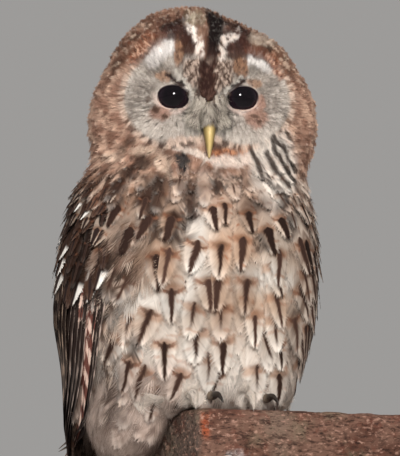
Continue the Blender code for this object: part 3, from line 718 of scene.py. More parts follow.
def vane(barbs, fringe, closed, roundness, seed, bare=0.0, loose=0.10):
    """Fine barbs, closed up to a share of the vane's width, each ending in a few loose points."""
    rng = np.random.default_rng(seed)
    along = np.linspace(bare, LAST_BARB, barbs + 1)
    edge_v = np.minimum(along + (0.16 + 0.10 * along) * (1 - 0.55 * along), VANE_END)
    edge_v[0] = bare + 0.02
    t = np.clip((edge_v - bare) / (VANE_END - bare), 0, 1)
    edge_u = np.clip(np.sin(math.pi * t**roundness), 0, 1) ** 0.55
    edge_u[-1] = 0.02
    mid_u = edge_u * closed
    mid_v = along + (edge_v - along) * closed    # where the barbs stop touching
    still = [0.0] * (barbs + 1)
    u, v, stray, tris = list(still), list(along), list(still), []

    def between(values, t):
        return values[i] * (1 - t) + values[i + 1] * t

    for side in (-1, 1):
        mid = len(u)
        u += list(side * mid_u)
        v += list(mid_v)
        stray += still
        turn = slice(None, None, side)           # keeps both halves' faces on one side
        for i in range(barbs):
            tris += [(i, i + 1, mid + i + 1)[turn], (i, mid + i + 1, mid + i)[turn]]
        for i in range(barbs):
            bases = [mid + i, *range(len(u), len(u) + fringe - 1), mid + i + 1]
            for k in range(1, fringe):
                u.append(side * between(mid_u, k / fringe))
                v.append(between(mid_v, k / fringe))
                stray.append(0.0)
            for k in range(fringe):
                t = (k + 0.5) / fringe + rng.normal(0, 0.12)
                reach = 1 + rng.normal(0, loose)
                start_v = between(along, t)
                tris.append((bases[k], bases[k + 1], len(u))[turn])
                u.append(side * (between(edge_u, t) * reach))
                v.append(start_v + (between(edge_v, t) - start_v) * reach)
                stray.append(rng.normal(0, 1))
    return Shape(u, v, stray, tris)


def hair_tuft(hairs, seed, spread=0.9, wide=0.055):
    """A fan of fine tapering hairs from one root."""
    rng = np.random.default_rng(seed)
    u, v, stray, tris = [], [], [], []
    for i in range(hairs):
        aim = spread * (2 * (i + 0.5) / hairs - 1) + rng.normal(0, 0.10)
        reach = rng.uniform(0.72, 1.0)
        bend = rng.normal(0, 0.10)
        n = len(u)
        for t, w in ((0.0, 0.7), (0.38, 1.0), (0.72, 0.8)):      # a share of the length, and the width there
            for s in (-1, 1):
                u.append(aim * (0.35 + 0.65 * t) + bend * t * t + s * w * wide)
                v.append(reach * t)
                stray.append(0.0)
        u.append(aim + bend)
        v.append(reach)
        stray.append(rng.normal(0, 1))
        for k in (n, n + 2):
            tris += [(k, k + 1, k + 3), (k, k + 3, k + 2)]
        tris.append((n + 4, n + 5, n + 6))
    return Shape(u, v, stray, tris)


def share_at(rows, low, t):
    """Rows of values along each feather, read between the steps low and low + 1."""
    return rows[:, low] * (1 - t) + rows[:, low + 1] * t


class Tract:
    """A set of feathers that share templates; it lays them out and makes one mesh or several."""

    def __init__(self, name, painted=0.0):
        self.name = name
        self.painted = painted       # how far the pattern runs on across the feathers, point by point
        self.verts, self.tris, self.uv, self.tuft, self.places = [], [], [], [], []
        self.colours = {"base": [], "mark": [], "style": []}
        self.count = 0
        self.tufts = 0

    def add(self, lines, sides, normals, shapes, heights, crown, stray, colours, rng):
        """Lines, both sides and normals are (feathers, steps, 3) and heights (feathers, steps)."""
        number, steps, _ = lines.shape
        pick = rng.integers(0, len(shapes), number)
        for which, shape in enumerate(shapes):
            chosen = np.nonzero(pick == which)[0]
            if not len(chosen):
                continue
            k = np.clip(shape.v * (steps - 1), 0, steps - 1.0001)
            low = np.minimum(k.astype(int), steps - 2)
            t = (shape.v * (steps - 1) - low)[None, :, None]
            centre, left, right, normal, height = (
                share_at(rows[chosen], low, t) for rows in (lines, *sides, normals, heights[:, :, None]))
            edge = np.where((shape.u > 0)[None, :, None], left, right)
            across = np.abs(shape.u)[None, :]
            lift = height[:, :, 0] + crown * (1 - across**2) + stray * shape.stray
            place = centre + (edge - centre) * across[:, :, None] + unit(normal) * lift[:, :, None]
            points = len(shape.u)
            self.verts.append(place.reshape(-1, 3))
            offset = self.count + np.arange(len(chosen))[:, None, None] * points
            self.tris.append((shape.tris[None] + offset).reshape(-1, 3))
            self.uv.append(np.tile(np.stack([shape.u * 0.5 + 0.5, shape.v], 1), (len(chosen), 1)))
            for key, values in colours.items():
                self.colours[key].append(np.repeat(values[chosen], points, 0))
            self.tuft.append(np.repeat(self.tufts + chosen, points))
            self.count += len(chosen) * points
        self.tufts += number
        self.places.append(lines[:, 0])

    def build(self, material):
        verts, tris, uv, tuft, places = (
            np.concatenate(rows) for rows in (self.verts, self.tris, self.uv, self.tuft, self.places))
        colours = {key: np.concatenate(rows) for key, rows in self.colours.items()}
        if self.painted:
            base = colours["base"]
            base[:, :3] = mix(base[:, :3], markings(verts)[0] * base[:, 3:], self.painted)
            base[:, 3] = 1
        parts = math.ceil(len(tris) / PIECE_TRIANGLES)
        for number, tufts in enumerate(np.array_split(np.unique(tuft), parts)):
            inside = np.zeros(tuft.max() + 1, bool)
            inside[tufts] = True
            keep_v = inside[tuft]
            index = np.cumsum(keep_v) - 1
            part_tris = index[tris[keep_v[tris[:, 0]]]]
            name = self.name if parts == 1 else f"{self.name}_{number + 1}"
            obj = mesh_object(name, verts[keep_v], part_tris, material)
            cells = bake_cells(places, tufts)
            in_cell = BAKE_MARGIN + (1 - 2 * BAKE_MARGIN) * uv[keep_v].clip(0, 1)
            patch = (cells[tuft[keep_v]] + in_cell) * BAKE_CELL
            uv_map(obj.data, "OFBake", patch, part_tris)
            uv_map(obj.data, "Vane", uv[keep_v], part_tris)
            for key, values in colours.items():
                point_colour(obj.data, key, values[keep_v])
            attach(obj, "root")


PIECE_TRIANGLES = 180000      # a piece of the coat is split above this


BAKE_GRID = 300
BAKE_CELL = 1 / BAKE_GRID
BAKE_MARGIN = 0.12            # of a cell, left free round each feather's patch


def skin_unwrap(points):
    """The skin opened out along the back: round the bird, and from the tail's tip up to the crown."""
    u = trunk_angle(points) / (2 * math.pi) + 0.5
    low, high = OUTER.verts[:, 2].min(), OUTER.verts[:, 2].max()
    return np.stack([u, (points[:, 2] - low) / (high - low)], 1) * 0.96 + 0.02


def bake_cells(places, tufts):
    """For each tuft, a cell of its own as near as can be to its root's place on the unwrap."""
    wanted = skin_unwrap(places)
    taken = set()
    cells = np.zeros((len(places), 2))
    for tuft in tufts.tolist():
        x0, y0 = (wanted[tuft] * BAKE_GRID).astype(int).clip(0, BAKE_GRID - 1).tolist()
        free, ring = [], 0
        while not free:
            reach = range(-ring, ring + 1)
            spots = [(x0 + i, y0 + j) for i in reach for j in reach if max(abs(i), abs(j)) == ring]
            free = [s for s in spots if s not in taken and 0 <= s[0] < BAKE_GRID and 0 <= s[1] < BAKE_GRID]
            ring += 1
        taken.add(free[0])
        cells[tuft] = free[0]
    return cells


def trace(surface, roots, lie_way, lengths, steps, turn=0.0):
    """Centre lines that follow the lie of the coat over the surface, turned aside by an angle."""
    place, normal = surface.snap(roots)
    turn = np.broadcast_to(turn, len(roots))[:, None]

    def turned_way():
        way = lie_way(place, normal)
        return unit(way * np.cos(turn) + np.cross(normal, way) * np.sin(turn)) if turn.any() else way

    way = turned_way()
    found = [(place, normal, way)]
    for _ in range(steps - 1):
        place, normal = surface.snap(place + way * (lengths / (steps - 1))[:, None])
        way = tangent(way * 0.4 + turned_way() * 0.6, normal)
        found.append((place, normal, way))
    return (np.stack(rows, 1) for rows in zip(*found))


def sides(surface, lines, normals, ways, widths):
    """Points half a width to each side of the centre lines, laid on the surface."""
    found = []
    for sign in (1, -1):
        out = lines + np.cross(normals, ways) * (sign * widths[:, None, None] / 2)
        place = surface.snap(out.reshape(-1, 3))[0].reshape(out.shape)
        # keep the true width where the surface falls away
        found.append(place * 0.75 + out * 0.25)
    return found


def laid_on(surface, points, share):
    """Points moved a share of the way to the surface."""
    flat = points.reshape(-1, 3)
    return (flat + (surface.snap(flat)[0] - flat) * share).reshape(points.shape)


STEPS = 5


def lay(tract, surface, roots, lie_way, lengths, widths, shapes, depth, tip_lift, colours, rng,
        wobble=0.14, crown=0.0004, stray=0.0003, steps=STEPS, rise=0.75):
    """Lays feathers from their roots in the skin up to the outline at their tips."""
    turn = rng.normal(0, wobble, len(roots))
    lines, normals, ways = trace(surface, roots, lie_way, lengths, steps, turn)
    widths, depth, tip_lift = (np.broadcast_to(given, len(roots)) for given in (widths, depth, tip_lift))
    t = np.linspace(0, 1, steps)[None]
    heights = -depth[:, None] * (1 - t**rise) + tip_lift[:, None] * t**2
    tract.add(lines, sides(surface, lines, normals, ways, widths), normals, shapes, heights, crown, stray,
              colours, rng)


def with_alpha(colour, alpha):
    return np.concatenate([colour, np.broadcast_to(alpha, (len(colour), 1))], 1)


def one_colour(number, colour, mark, width=0.05, bars=0.1):
    """What markings() gives, the same for every feather."""
    return [np.tile(colour, (number, 1)), np.tile(mark, (number, 1)), np.full(number, width),
            np.full(number, bars)]


def feather_colours(found, rng, pale=0.35, spread=0.10, marked=1.0):
    """Per-feather colour rows from markings, with a little variation, which the base's alpha keeps."""
    base, mark, width, bars = found
    number = len(base)
    shade = 1 + rng.normal(0, spread, (number, 1)).clip(-2 * spread, 2 * spread)
    style = np.stack([width * marked, bars * (0.35 + 0.65 * marked), np.full(number, pale),
                      rng.random(number)], 1)
    return {"base": with_alpha((base * shade).clip(0.005, 0.95), shade), "mark": with_alpha(mark, 0),
            "style": style}


# ---- materials ----
def shader_operator(operation, swapped=False):
    """A method that writes one of Python's operators as a Math node."""
    def method(self, other=0.0):
        return self.nodes.math(operation, *((other, self) if swapped else (self, other)))
    return method


class Signal:
    """A shader value that plain arithmetic can be written with."""

    def __init__(self, nodes, socket):
        self.nodes, self.socket = nodes, socket

    __add__, __radd__ = shader_operator("ADD"), shader_operator("ADD", True)
    __sub__, __rsub__ = shader_operator("SUBTRACT"), shader_operator("SUBTRACT", True)
    __mul__, __truediv__ = shader_operator("MULTIPLY"), shader_operator("DIVIDE")
    __pow__, __abs__ = shader_operator("POWER"), shader_operator("ABSOLUTE")
    at_most, at_least = shader_operator("MINIMUM"), shader_operator("MAXIMUM")
    sine, fraction = shader_operator("SINE"), shader_operator("FRACT")


class Nodes:
    """A short way to write shader trees."""

    def __init__(self, name):
        self.material = bpy.data.materials.new(name)
        self.material.use_nodes = True
        self.tree = self.material.node_tree
        self.shader = self.tree.nodes["Principled BSDF"]

    def link(self, value, socket):
        if isinstance(value, Signal):
            self.tree.links.new(value.socket, socket)
        else:
            socket.default_value = value

    def node(self, kind, inputs=(), **settings):
        """A node with these settings and inputs, by place or by name; gives its outputs."""
        made = self.tree.nodes.new(kind)
        for key, value in settings.items():
            setattr(made, key, value)
        for key, value in inputs:
            self.link(value, made.inputs[key])
        return [Signal(self, socket) for socket in made.outputs]

    def math(self, operation, a, b=0.0, clamp=False):
        return self.node("ShaderNodeMath", ((0, a), (1, b)), operation=operation, use_clamp=clamp)[0]

    def ramp(self, value, low, high, to_low=0.0, to_high=1.0):
        inputs = zip(("Value", "From Min", "From Max", "To Min", "To Max"),
                     (value, low, high, to_low, to_high))
        return self.node("ShaderNodeMapRange", inputs, interpolation_type="SMOOTHSTEP")[0]

    def mix(self, a, b, factor, blend="MIX"):
        a, b = (c if isinstance(c, Signal) else (*tuple(float(v) for v in c), 1.0) for c in (a, b))
        given = ((0, factor), (6, a), (7, b))
        return self.node("ShaderNodeMix", given, data_type="RGBA", blend_type=blend)[2]

    def scaled(self, colour, factor, amount):
        """The colour times factor, by an amount from 0 to 1."""
        return self.mix(colour, (factor, factor, factor), amount, "MULTIPLY")

    def attribute(self, name):
        """A colour attribute of the points and its alpha."""
        colour, _, _, alpha = self.node("ShaderNodeAttribute", attribute_name=name)
        return colour, alpha

    def split(self, vector):
        return self.node("ShaderNodeSeparateXYZ", ((0, vector),))

    def join(self, x, y, z):
        return self.node("ShaderNodeCombineXYZ", enumerate((x, y, z)))[0]

    def noise(self, vector, scale, detail=2.0, roughness=0.5):
        inputs = (("Vector", vector), ("Scale", scale), ("Detail", detail), ("Roughness", roughness))
        return self.node("ShaderNodeTexNoise", inputs)[0]

    def coords(self):
        """Coordinates fixed to the object."""
        return self.node("ShaderNodeTexCoord")[3]

    def vane_uv(self):
        return self.node("ShaderNodeUVMap", uv_map="Vane")[0]

    def bump(self, height, strength, distance):
        inputs = (("Strength", strength), ("Distance", distance), ("Height", height))
        self.link(self.node("ShaderNodeBump", inputs)[0], self.shader.inputs["Normal"])

    def finish(self, colour, roughness, **settings):
        self.link(colour, self.shader.inputs["Base Color"])
        self.link(roughness, self.shader.inputs["Roughness"])
        for key, value in settings.items():
            self.shader.inputs[key.replace("_", " ")].default_value = value
        return self.material


def vane_inputs(n):
    """u from the shaft outwards, signed u, v, the style's four numbers and the barb noise."""
    across, v, _ = n.split(n.vane_uv())
    signed = (across - 0.5) * 2.0
    u = abs(signed)
    style, chance = n.attribute("style")
    width, bars, pale = n.split(style)
    barb = n.noise(n.join((v - u * 0.30) * 34.0, signed * 1.6, chance * 40.0), 1.0, 2.0, 0.6)
    return u, signed, v, width, bars, pale, chance, barb


def contour_material():
    """Body feathers: pale vane, tapering dark shaft streak under a cross-bar, pale fringe."""
    n = Nodes("contour_feathers")
    u, signed, v, width, bars, pale, chance, barb = vane_inputs(n)
    base, _ = n.attribute("base")
    mark, spot = n.attribute("mark")
    ragged = (barb - 0.5) * 0.22
    # a slower unevenness bends bars and streaks, each feather its own way
    bent = n.noise(n.join(v * 4.0, signed * 1.3, chance * 70.0), 1.0, 1.0, 0.5) - 0.5
    shift = (chance - 0.5) * 0.10
    strength = (bars * width * 10.0).at_most(1.0)
    # pale fringe
    fringe = n.ramp((u * 0.9).at_least(n.ramp(v, 0.72, 1.0)), 0.35, 1.0)
    colour = n.mix(n.scaled(base, 1.5, fringe * pale), WHITE, fringe * pale * 0.25)
    # painted shade: darker, in a brownish band, where it comes out from under the feathers above
    under = n.ramp(abs(v - 0.57), 0.095, 0.02) * (strength * 0.80)
    colour = n.mix(colour, (0.70, 0.52, 0.42), under, "MULTIPLY")
    colour = n.scaled(colour, 0.60, n.ramp(v, 0.30, 0.12))
    # fine rusty cross-bars on parts of the webs
    phase = (v - u * 0.06 + bent * 0.12) * 3.6 + chance * 3.0
    wave = (phase * (2 * math.pi)).sine() + ragged * 4.0
    some = n.ramp(bent + signed * 0.15, -0.02, 0.10)
    bar = n.ramp(wave, 0.72, 1.05) * some * (bars * 0.8)
    colour = n.mix(colour, (0.62, 0.36, 0.25), bar, "MULTIPLY")
    # brown shade beside the streak
    shade = n.ramp(u, 0.60, 0.10) * (n.ramp(v, 0.44, 0.52) * n.ramp(v, 0.90, 0.60))
    colour = n.mix(colour, (0.42, 0.31, 0.25), shade * strength * 0.55, "MULTIPLY")
    # a thin bar right across, just below the tips of the feathers above
    level = 0.585 + shift + bent * 0.10 - u * u * 0.10
    off = abs(v + ragged * 0.25 - level)
    broad = n.ramp(off, 0.040, 0.010) * n.ramp(u / (0.70 + chance * 0.40), 1.0, 0.60)
    broad = broad * (strength * (1.0 - u * 0.45))
    broad = broad * n.ramp((chance * 5.1).fraction(), 0.10, 0.65, 0.15, 1.0)
    rusty = n.mix(mark, rgb(132, 88, 66), 0.75)
    colour = n.mix(colour, n.mix(mark, rusty, n.ramp(u, 0.15, 0.60)), broad)
    # shaft streak: broad under the bar, ending in a point at the tip, paler towards its edge
    ends = 1.08 + width * 0.35 - (chance * 7.3).fraction() * 0.14
    length = n.math("MULTIPLY", ends - v, 2.0, clamp=True)
    blunt = n.math("SUBTRACT", 0.95, width * 0.9, clamp=True)
    later = (chance * 11.7).fraction() * 0.09
    begun = n.ramp(v - shift - later, 0.44, 0.53)
    half = width * (begun * length ** blunt) * (0.34 + chance * 0.74)
    edge = abs(signed + bent * 0.34) + ragged - half
    streak = n.ramp(edge, 0.13, -0.05) * n.ramp(half, 0.035, 0.075)
    core = n.ramp(edge, 0.03, -0.10)
    colour = n.mix(colour, n.mix(n.mix(mark, MID_BROWN, 0.5), mark, core), streak)
    # white drop on one web near the tip
    drop = n.ramp(signed, 0.08, 0.24) * (n.ramp(v, 0.50, 0.64) * n.ramp(v, 1.0, 0.92))
    colour = n.mix(colour, WHITE, drop * spot)
    # barbs
    colour = n.scaled(colour, 0.55, n.ramp(barb, 0.46, 0.26, 0.0, 0.55))
    colour = n.scaled(colour, 1.25, n.ramp(barb, 0.56, 0.80, 0.0, 0.8))
    n.bump(barb, 0.40, 0.0006)
    return n.finish(colour, 0.80, Specular_IOR_Level=0.12)


def flight_material():
    """Wing and tail quills: dark webs, a pale broken edge on the outer web, dark shaft."""
    n = Nodes("flight_feathers")
    u, signed, v, width, bars, pale, chance, barb = vane_inputs(n)
    base, _ = n.attribute("base")
    mark, _ = n.attribute("mark")
    uneven = n.noise(n.join(v * 9.0, signed * 0.8, chance * 90.0), 1.0, 2.0, 0.6)
    phase = (v - u * 0.035) * (width * 20.0) + chance
    wave = (phase * (2 * math.pi)).sine() + (uneven - 0.5) * 3.2 + (barb - 0.5) * 1.2
    bar = n.ramp(wave, -0.25, 0.75)
    # the inner web is barred faintly, the outer web has pale spots that run together at its edge
    outer = n.ramp(signed + (chance - 0.5) * 0.35, 0.32, 0.62)
    spots = outer * (0.28 + bar * 0.72)
    share = (1.08 - bars) * (0.80 - bars * 0.40)
    colour = n.mix(n.mix(mark, base, bar * share), base, spots * bars)
    colour = n.mix(colour, CREAM, n.ramp(v, 0.965, 1.0) * pale)
    colour = n.mix(colour, mix(DARK, BLACKISH, 0.5), n.ramp(u, 0.07, 0.02) * 0.8)
    colour = n.mix(colour, (0.01, 0.008, 0.006), n.ramp(barb, 0.44, 0.25, 0.0, 0.35))
    n.bump(barb, 0.30, 0.0005)
    return n.finish(colour, 0.62, Specular_IOR_Level=0.2)


def down_material():
    """Fine hair-like feathers of the face, feet and fluff."""
    n = Nodes("down_feathers")
    _, v, _ = n.split(n.vane_uv())
    base, _ = n.attribute("base")
    mark, _ = n.attribute("mark")
    style, _ = n.attribute("style")
    _, _, pale = n.split(style)
    colour = n.mix(base, mark, n.ramp(v, 0.35, 0.0) * 0.30)
    colour = n.scaled(colour, 1.5, n.ramp(v, 0.6, 1.0) * pale)
    grain = n.noise(n.coords(), 1400.0, 2.0)
    colour = n.scaled(colour, 0.4, n.ramp(grain, 0.48, 0.25, 0.0, 0.5))
    n.bump(grain, 0.2, 0.0003)
    return n.finish(colour, 0.85, Specular_IOR_Level=0.12)


def mottled_material(name, bump, roughness, *layers, **settings):
    """Colours laid on the points, under layers that a fine noise uncovers.

    A layer is its noise's scale, detail and roughness, its colour, the noise where it starts and where
    it is full, and its strength. Bump and a range of roughness follow the first layer's noise.
    """
    n = Nodes(name)
    colour, _ = n.attribute("base")
    noises = []
    for scale, detail, rough, tint, start, full, strength in layers:
        noises.append(n.noise(n.coords(), scale, detail, rough))
        colour = n.mix(colour, tint, n.ramp(noises[-1], start, full, 0.0, strength))
    height = noises[0] if len(bump) == 2 else noises[0] + noises[1] * bump[2]
    n.bump(height, *bump[:2])
    if np.ndim(roughness):
        roughness = n.ramp(noises[0], 0.3, 0.7, *roughness)
    return n.finish(colour, roughness, **settings)


def timber_material():
    """Weathered rough-sawn wood: grey-brown and pinkish fibres, small flakes, dark crevices whose darkness is
    partly the wood's own and partly painted shade.
    """
    n = Nodes("rough_timber")
    coords = n.coords()
    x, y, z = n.split(coords)
    grain = n.noise(n.join(x * 0.28, y, z), 520.0, 5.0, 0.66)
    broad = n.noise(coords, 48.0, 4.0, 0.62)
    flakes = n.noise(n.join(x * 0.55, y, z), 480.0, 4.0, 0.62)
    stain = n.noise(coords, 90.0, 3.0, 0.6)
    colour, _ = n.attribute("base")
    # the darkest tints lie where the bump is lowest: darker wood in the grain, and painted shade in the
    # crevices
    for noise, tint, start, full, strength in (
            (stain, rgb(104, 60, 48), 0.50, 0.66, 0.75), (broad, rgb(132, 120, 100), 0.50, 0.68, 0.55),
            (grain, rgb(50, 32, 27), 0.52, 0.34, 0.85), (flakes, rgb(186, 146, 128), 0.54, 0.68, 0.75),
            (flakes, rgb(38, 24, 20), 0.44, 0.30, 0.8)):
        colour = n.mix(colour, tint, n.ramp(noise, start, full, 0.0, strength))
    n.bump(grain + flakes * 0.9, 0.9, 0.0012)
    return n.finish(colour, n.ramp(broad, 0.3, 0.7, 0.74, 0.92), Specular_IOR_Level=0.25)


def stand_material():
    n = Nodes("satin_paint")
    coords = n.coords()
    peel = n.noise(coords, 700.0, 2.0)
    wear = n.noise(coords, 24.0, 4.0, 0.6)
    colour = n.mix(rgb(52, 52, 54), rgb(66, 65, 66), n.ramp(wear, 0.4, 0.7))
    n.bump(peel, 0.12, 0.0004)
    return n.finish(colour, n.ramp(wear, 0.3, 0.7, 0.38, 0.52), Coat_Weight=0.1)


def floor_material():
    n = Nodes("studio_floor")
    mottled = n.noise(n.coords(), 3.0, 3.0)
    return n.finish(n.mix((0.74, 0.73, 0.71), (0.78, 0.77, 0.75), mottled), 0.9)


# ---- the pieces ----
def build_skin():
    verts = OUTER.verts
    depth = smooth_over(coat_depth(verts), OUTER.tris, len(verts), 3)
    normals = unit(smooth_over(OUTER.normals, OUTER.tris, len(verts), 2))
    down = mottled_material("skin_down", (0.6, 0.0008), 0.9, (900.0, 4.0, 0.6, (0, 0, 0), 0.60, 0.30, 0.45),
                            (260.0, 3.0, 0.6, GREY_BROWN, 0.45, 0.65, 0.35), Specular_IOR_Level=0.1)
    skin = mesh_object("skin", verts - normals * depth[:, None], OUTER.tris, down)
    base, wing_base = markings(verts)[0], wing_markings(verts)[0]
    for surface in (WING["right"], WING["left"], TAIL):
        base = mix(base, wing_base, ramp(0.004, 0.0015, surface.distance(verts)))
    point_colour(skin.data, "base", base * 0.8)
    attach(skin, "root")
    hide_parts(*FLESH)


FACE_SHAPES = [vane(7, 1, 0.40, 0.62, 100 + k, bare=0.05, loose=0.20) for k in range(4)]
HEAD_SHAPES = [vane(12, 2, 0.60, 0.66, 200 + k, loose=0.12) for k in range(5)]
SOFT_HEAD_SHAPES = [vane(11, 2, 0.36, 0.62, 250 + k, loose=0.22) for k in range(5)]
BODY_SHAPES = [vane(20, 2, 0.66, 1.00, 300 + k, loose=0.09) for k in range(6)]
MARKED_SHAPES = [vane(34, 3, 0.66, 1.25, 350 + k, loose=0.11) for k in range(6)]
DOWN_SHAPES = [vane(15, 2, 0.38, 0.62, 400 + k, loose=0.20) for k in range(5)]
COVERT_SHAPES = [vane(20, 1, 0.86, 0.62, 500 + k, loose=0.04) for k in range(4)]
QUILL_SHAPES = [vane(64, 1, 0.94, 0.36, 700 + k, loose=0.015) for k in range(3)]
TUFTS = [hair_tuft(8, 600 + k) for k in range(5)]
LONG_TUFTS = [hair_tuft(13, 650 + k, wide=0.035) for k in range(5)]


# the dark lines over the eyes' inner corners: across and up from the head's middle, in millimetres
BROW_LINES = (((-11.7, -0.8), (-16.8, 5.6), (-20.6, 9.0), (-24.0, 12.6)),
              ((11.9, -2.8), (14.2, 3.0), (18.3, 6.9), (21.6, 10.2)))


FACE_RADIUS = 0.033           # of the disc round each eye's axis
FACES_AHEAD = 0.35            # how much of a point must face ahead to be in the face
BARE_AT_BILL = 0.0006         # no feather of the disc is rooted nearer to the bill


def build_head_coat(contour, down, rims, horn):
    rng = np.random.default_rng(11)
    face_form, muzzle = joined(OUTER, rims), joined(OUTER, horn)

    def opening_share(points):
        """Distance from the middle of the nearer eye's opening, 1 on its rim."""
        x, _, h, _, _ = face_measures(points)
        across, h = np.abs(x) - HALF_APART + LID_INWARD, h + LID_DOWN
        return np.hypot(across / LID_WIDTH, h / np.where(h > 0, LID_TOP, LID_BOTTOM))

    def in_face(points):
        x, _, h, from_eye, ahead = face_measures(points)
        between_discs = (np.abs(x) < 0.014) & (h < 0.012) & (h > -0.034)
        return (ahead > FACES_AHEAD) & ((from_eye < FACE_RADIUS) | between_discs)

    def face_spacing(points, normals):
        size = 0.0011 + 0.0004 * ramp(0.011, 0.022, face_measures(points)[3])
        return np.where(in_face(points) & (opening_share(points) > 1.0), size, 0)

    def rim_spacing(points, normals):
        x, _, h, _, _ = face_measures(points)
        above_corner = ramp(0.001, 0.005, h) * ramp(0.022, 0.018, np.abs(x))
        return np.where(opening_share(points) > 1.09 + 0.14 * above_corner, 0.0008, 0)

    def head_way(normals, *way):
        return tangent(np.stack(np.broadcast_arrays(*way), 1) @ HEAD_ROT.T, normals)

    # facial disc: fine, loose-barbed feathers that radiate from the eyes, hairs over short vanes
    face = Tract("coat_face", 0.92)
    # lengths near the eye and far from it, width, lift of the tips and shade
    for form, spacing, shapes, near, far, width, lift, shade in (
            (OUTER, face_spacing, FACE_SHAPES, 0.0042, 0.0082, 0.0024, 0.0003, 0.92),
            (OUTER, face_spacing, TUFTS, 0.0052, 0.0100, 0.0030, 0.0008, 1.05),
            (rims, rim_spacing, TUFTS, 0.0046, 0.0060, 0.0026, 0.0006, 1.0)):
        roots = form.scatter(spacing, rng)
        if form is OUTER:
            roots = roots[BILL.distance(roots) > BARE_AT_BILL]
        close = ramp(0.010, 0.024, face_measures(roots)[3])
        length = near + (far - near) * close + rng.normal(0, 0.0006, len(roots))
        found = list(markings(roots))
        found[0] = found[0] * shade
        found[1] = found[0] * 0.5
        lay(face, face_form, roots, lie, length, width * (0.7 + 0.3 * close), shapes,
            np.minimum(coat_depth(roots) * 0.9, 0.0020), lift,
            feather_colours(found, rng, pale=0.04, spread=0.07), rng, wobble=0.22, crown=0.0002)
    face.build(down)

    # short black feathers in a line over each eye's inner corner
    brows = Tract("coat_brows")
    spots = []
    for line in BROW_LINES:
        t = np.linspace(0, len(line) - 1, 60)
        across, up = (np.interp(t, range(len(line)), [at[k] for at in line]) + rng.normal(0, loose, len(t))
                      for k, loose in ((0, 0.45), (1, 0.25)))
        spots.append(np.stack([across, np.full(len(t), -70.0), up], 1) / 1000)
    into = Vector(HEAD_ROT @ np.array([0.0, 1.0, 0.0]))
    roots = np.array([tuple(face_form.tree.ray_cast(Vector(at), into)[0])
                      for at in from_head(np.concatenate(spots))])

    def up_the_brow(points, normals):
        return head_way(normals, np.sign(to_head(points)[:, 0]) * 0.75, 0.0, 0.66)

    number = len(roots)
    found = one_colour(number, rgb(66, 52, 48), BLACKISH)
    lay(brows, face_form, roots, up_the_brow, 0.0024 + 0.0010 * rng.random(number), 0.0009, TUFTS,
        -0.0002, 0.0011, feather_colours(found, rng, pale=0.05), rng, wobble=0.20, crown=0.0001, stray=0.0002)
    brows.build(down)

    # bristles that come down over the upper part of the bill
    bristle = Tract("coat_bristles")

    def bristle_spacing(points, normals):
        x, _, h, _, ahead = face_measures(points)
        near = (np.abs(x) < 0.0085) & (h > -0.020) & (h < np.abs(x) * 0.9 - 0.0045) & (ahead > 0.3)
        return np.where(near, 0.0007, 0)

    def down_the_bill(points, normals):
        return head_way(normals, np.clip(to_head(points)[:, 0] * 55, -0.5, 0.5), -0.25, -1.0)

    roots = muzzle.scatter(bristle_spacing, rng)
    roots = roots[to_head(roots)[:, 2] > -0.0150]
    number = len(roots)
    length = 0.0085 + 0.0035 * rng.random(number)
    length = np.minimum(length, (to_head(roots)[:, 2] + 0.0225).clip(0.004))
    found = one_colour(number, rgb(182, 173, 160), GREY_BROWN)
    found[0] = mix(found[0], rgb(84, 74, 68), ramp(0.5, 0.9, rng.random(number)))
    lay(bristle, muzzle, roots, down_the_bill, length, 0.0034, TUFTS, 0.0001, 0.0017,
        feather_colours(found, rng, pale=0.2), rng, wobble=0.22, crown=0.0002)
    bristle.build(down)

    # hood, crown and nape
    hood = Tract("coat_head", 0.95)

    def hood_spacing(points, normals):
        _, _, h, _, ahead = face_measures(points)
        size = 0.0024 + 0.0016 * ramp(0.7, 0.2, ahead) + 0.0010 * ramp(-0.020, -0.045, h)
        return np.where((h > -0.048 + 0.010 * ahead) & ~in_face(points), size, 0)

    roots = OUTER.scatter(hood_spacing, rng)
    _, _, h, _, ahead = face_measures(roots)
    big = np.maximum(ramp(0.7, 0.1, ahead), ramp(-0.015, -0.045, h))
    crown = ramp(0.020, 0.034, h)
    length = 0.0095 + 0.0085 * big * (1 - 0.5 * crown) + rng.normal(0, 0.0008, len(roots))
    width = 0.0046 + 0.0040 * big * (1 - 0.4 * crown)
    found = markings(roots)
    soft = rng.random(len(roots)) < 0.75 - 0.5 * crown
    for group, shapes in ((~soft, HEAD_SHAPES), (soft, SOFT_HEAD_SHAPES)):
        lay(hood, OUTER, roots[group], lie, length[group], width[group], shapes,
            coat_depth(roots[group]) * 0.85, 0.0006,
            feather_colours([f[group] for f in found], rng, pale=0.16, spread=0.09), rng, wobble=0.20,
            stray=0.0004)

    # the hood's larger, softly tipped feathers round the disc, each of one colour
    lobes = Tract("coat_hood_lobes", 0.45)

    def lobe_spacing(points, normals):
        _, _, h, from_eye, _ = face_measures(points)
        round_disc = (h > -0.050) & (from_eye > 0.038) & ~in_face(points)
        return np.where(round_disc, 0.0058 - 0.0018 * ramp(0.015, 0.035, h), 0)

    roots = OUTER.scatter(lobe_spacing, rng)
    _, _, h, _, ahead = face_measures(roots)
    throat = (h < -0.020) & (ahead > 0.4)
    crown = ramp(0.015, 0.035, h)
    found = list(markings(roots))
    found[0] = found[0] * 0.87
    found[2] = found[2] * 0
    length = 0.0150 - 0.0060 * crown + rng.normal(0, 0.001, len(roots))
    for tract, group in ((lobes, ~throat), (hood, throat)):
        lay(tract, OUTER, roots[group], lie, length[group], 0.0094 - 0.0040 * crown[group], SOFT_HEAD_SHAPES,
            coat_depth(roots[group]) * 0.6, 0.0012,
            feather_colours([f[group] for f in found], rng, pale=0.42, spread=0.17), rng, wobble=0.16,
            crown=0.0009, stray=0.0005)
    hood.build(contour)
    lobes.build(contour)

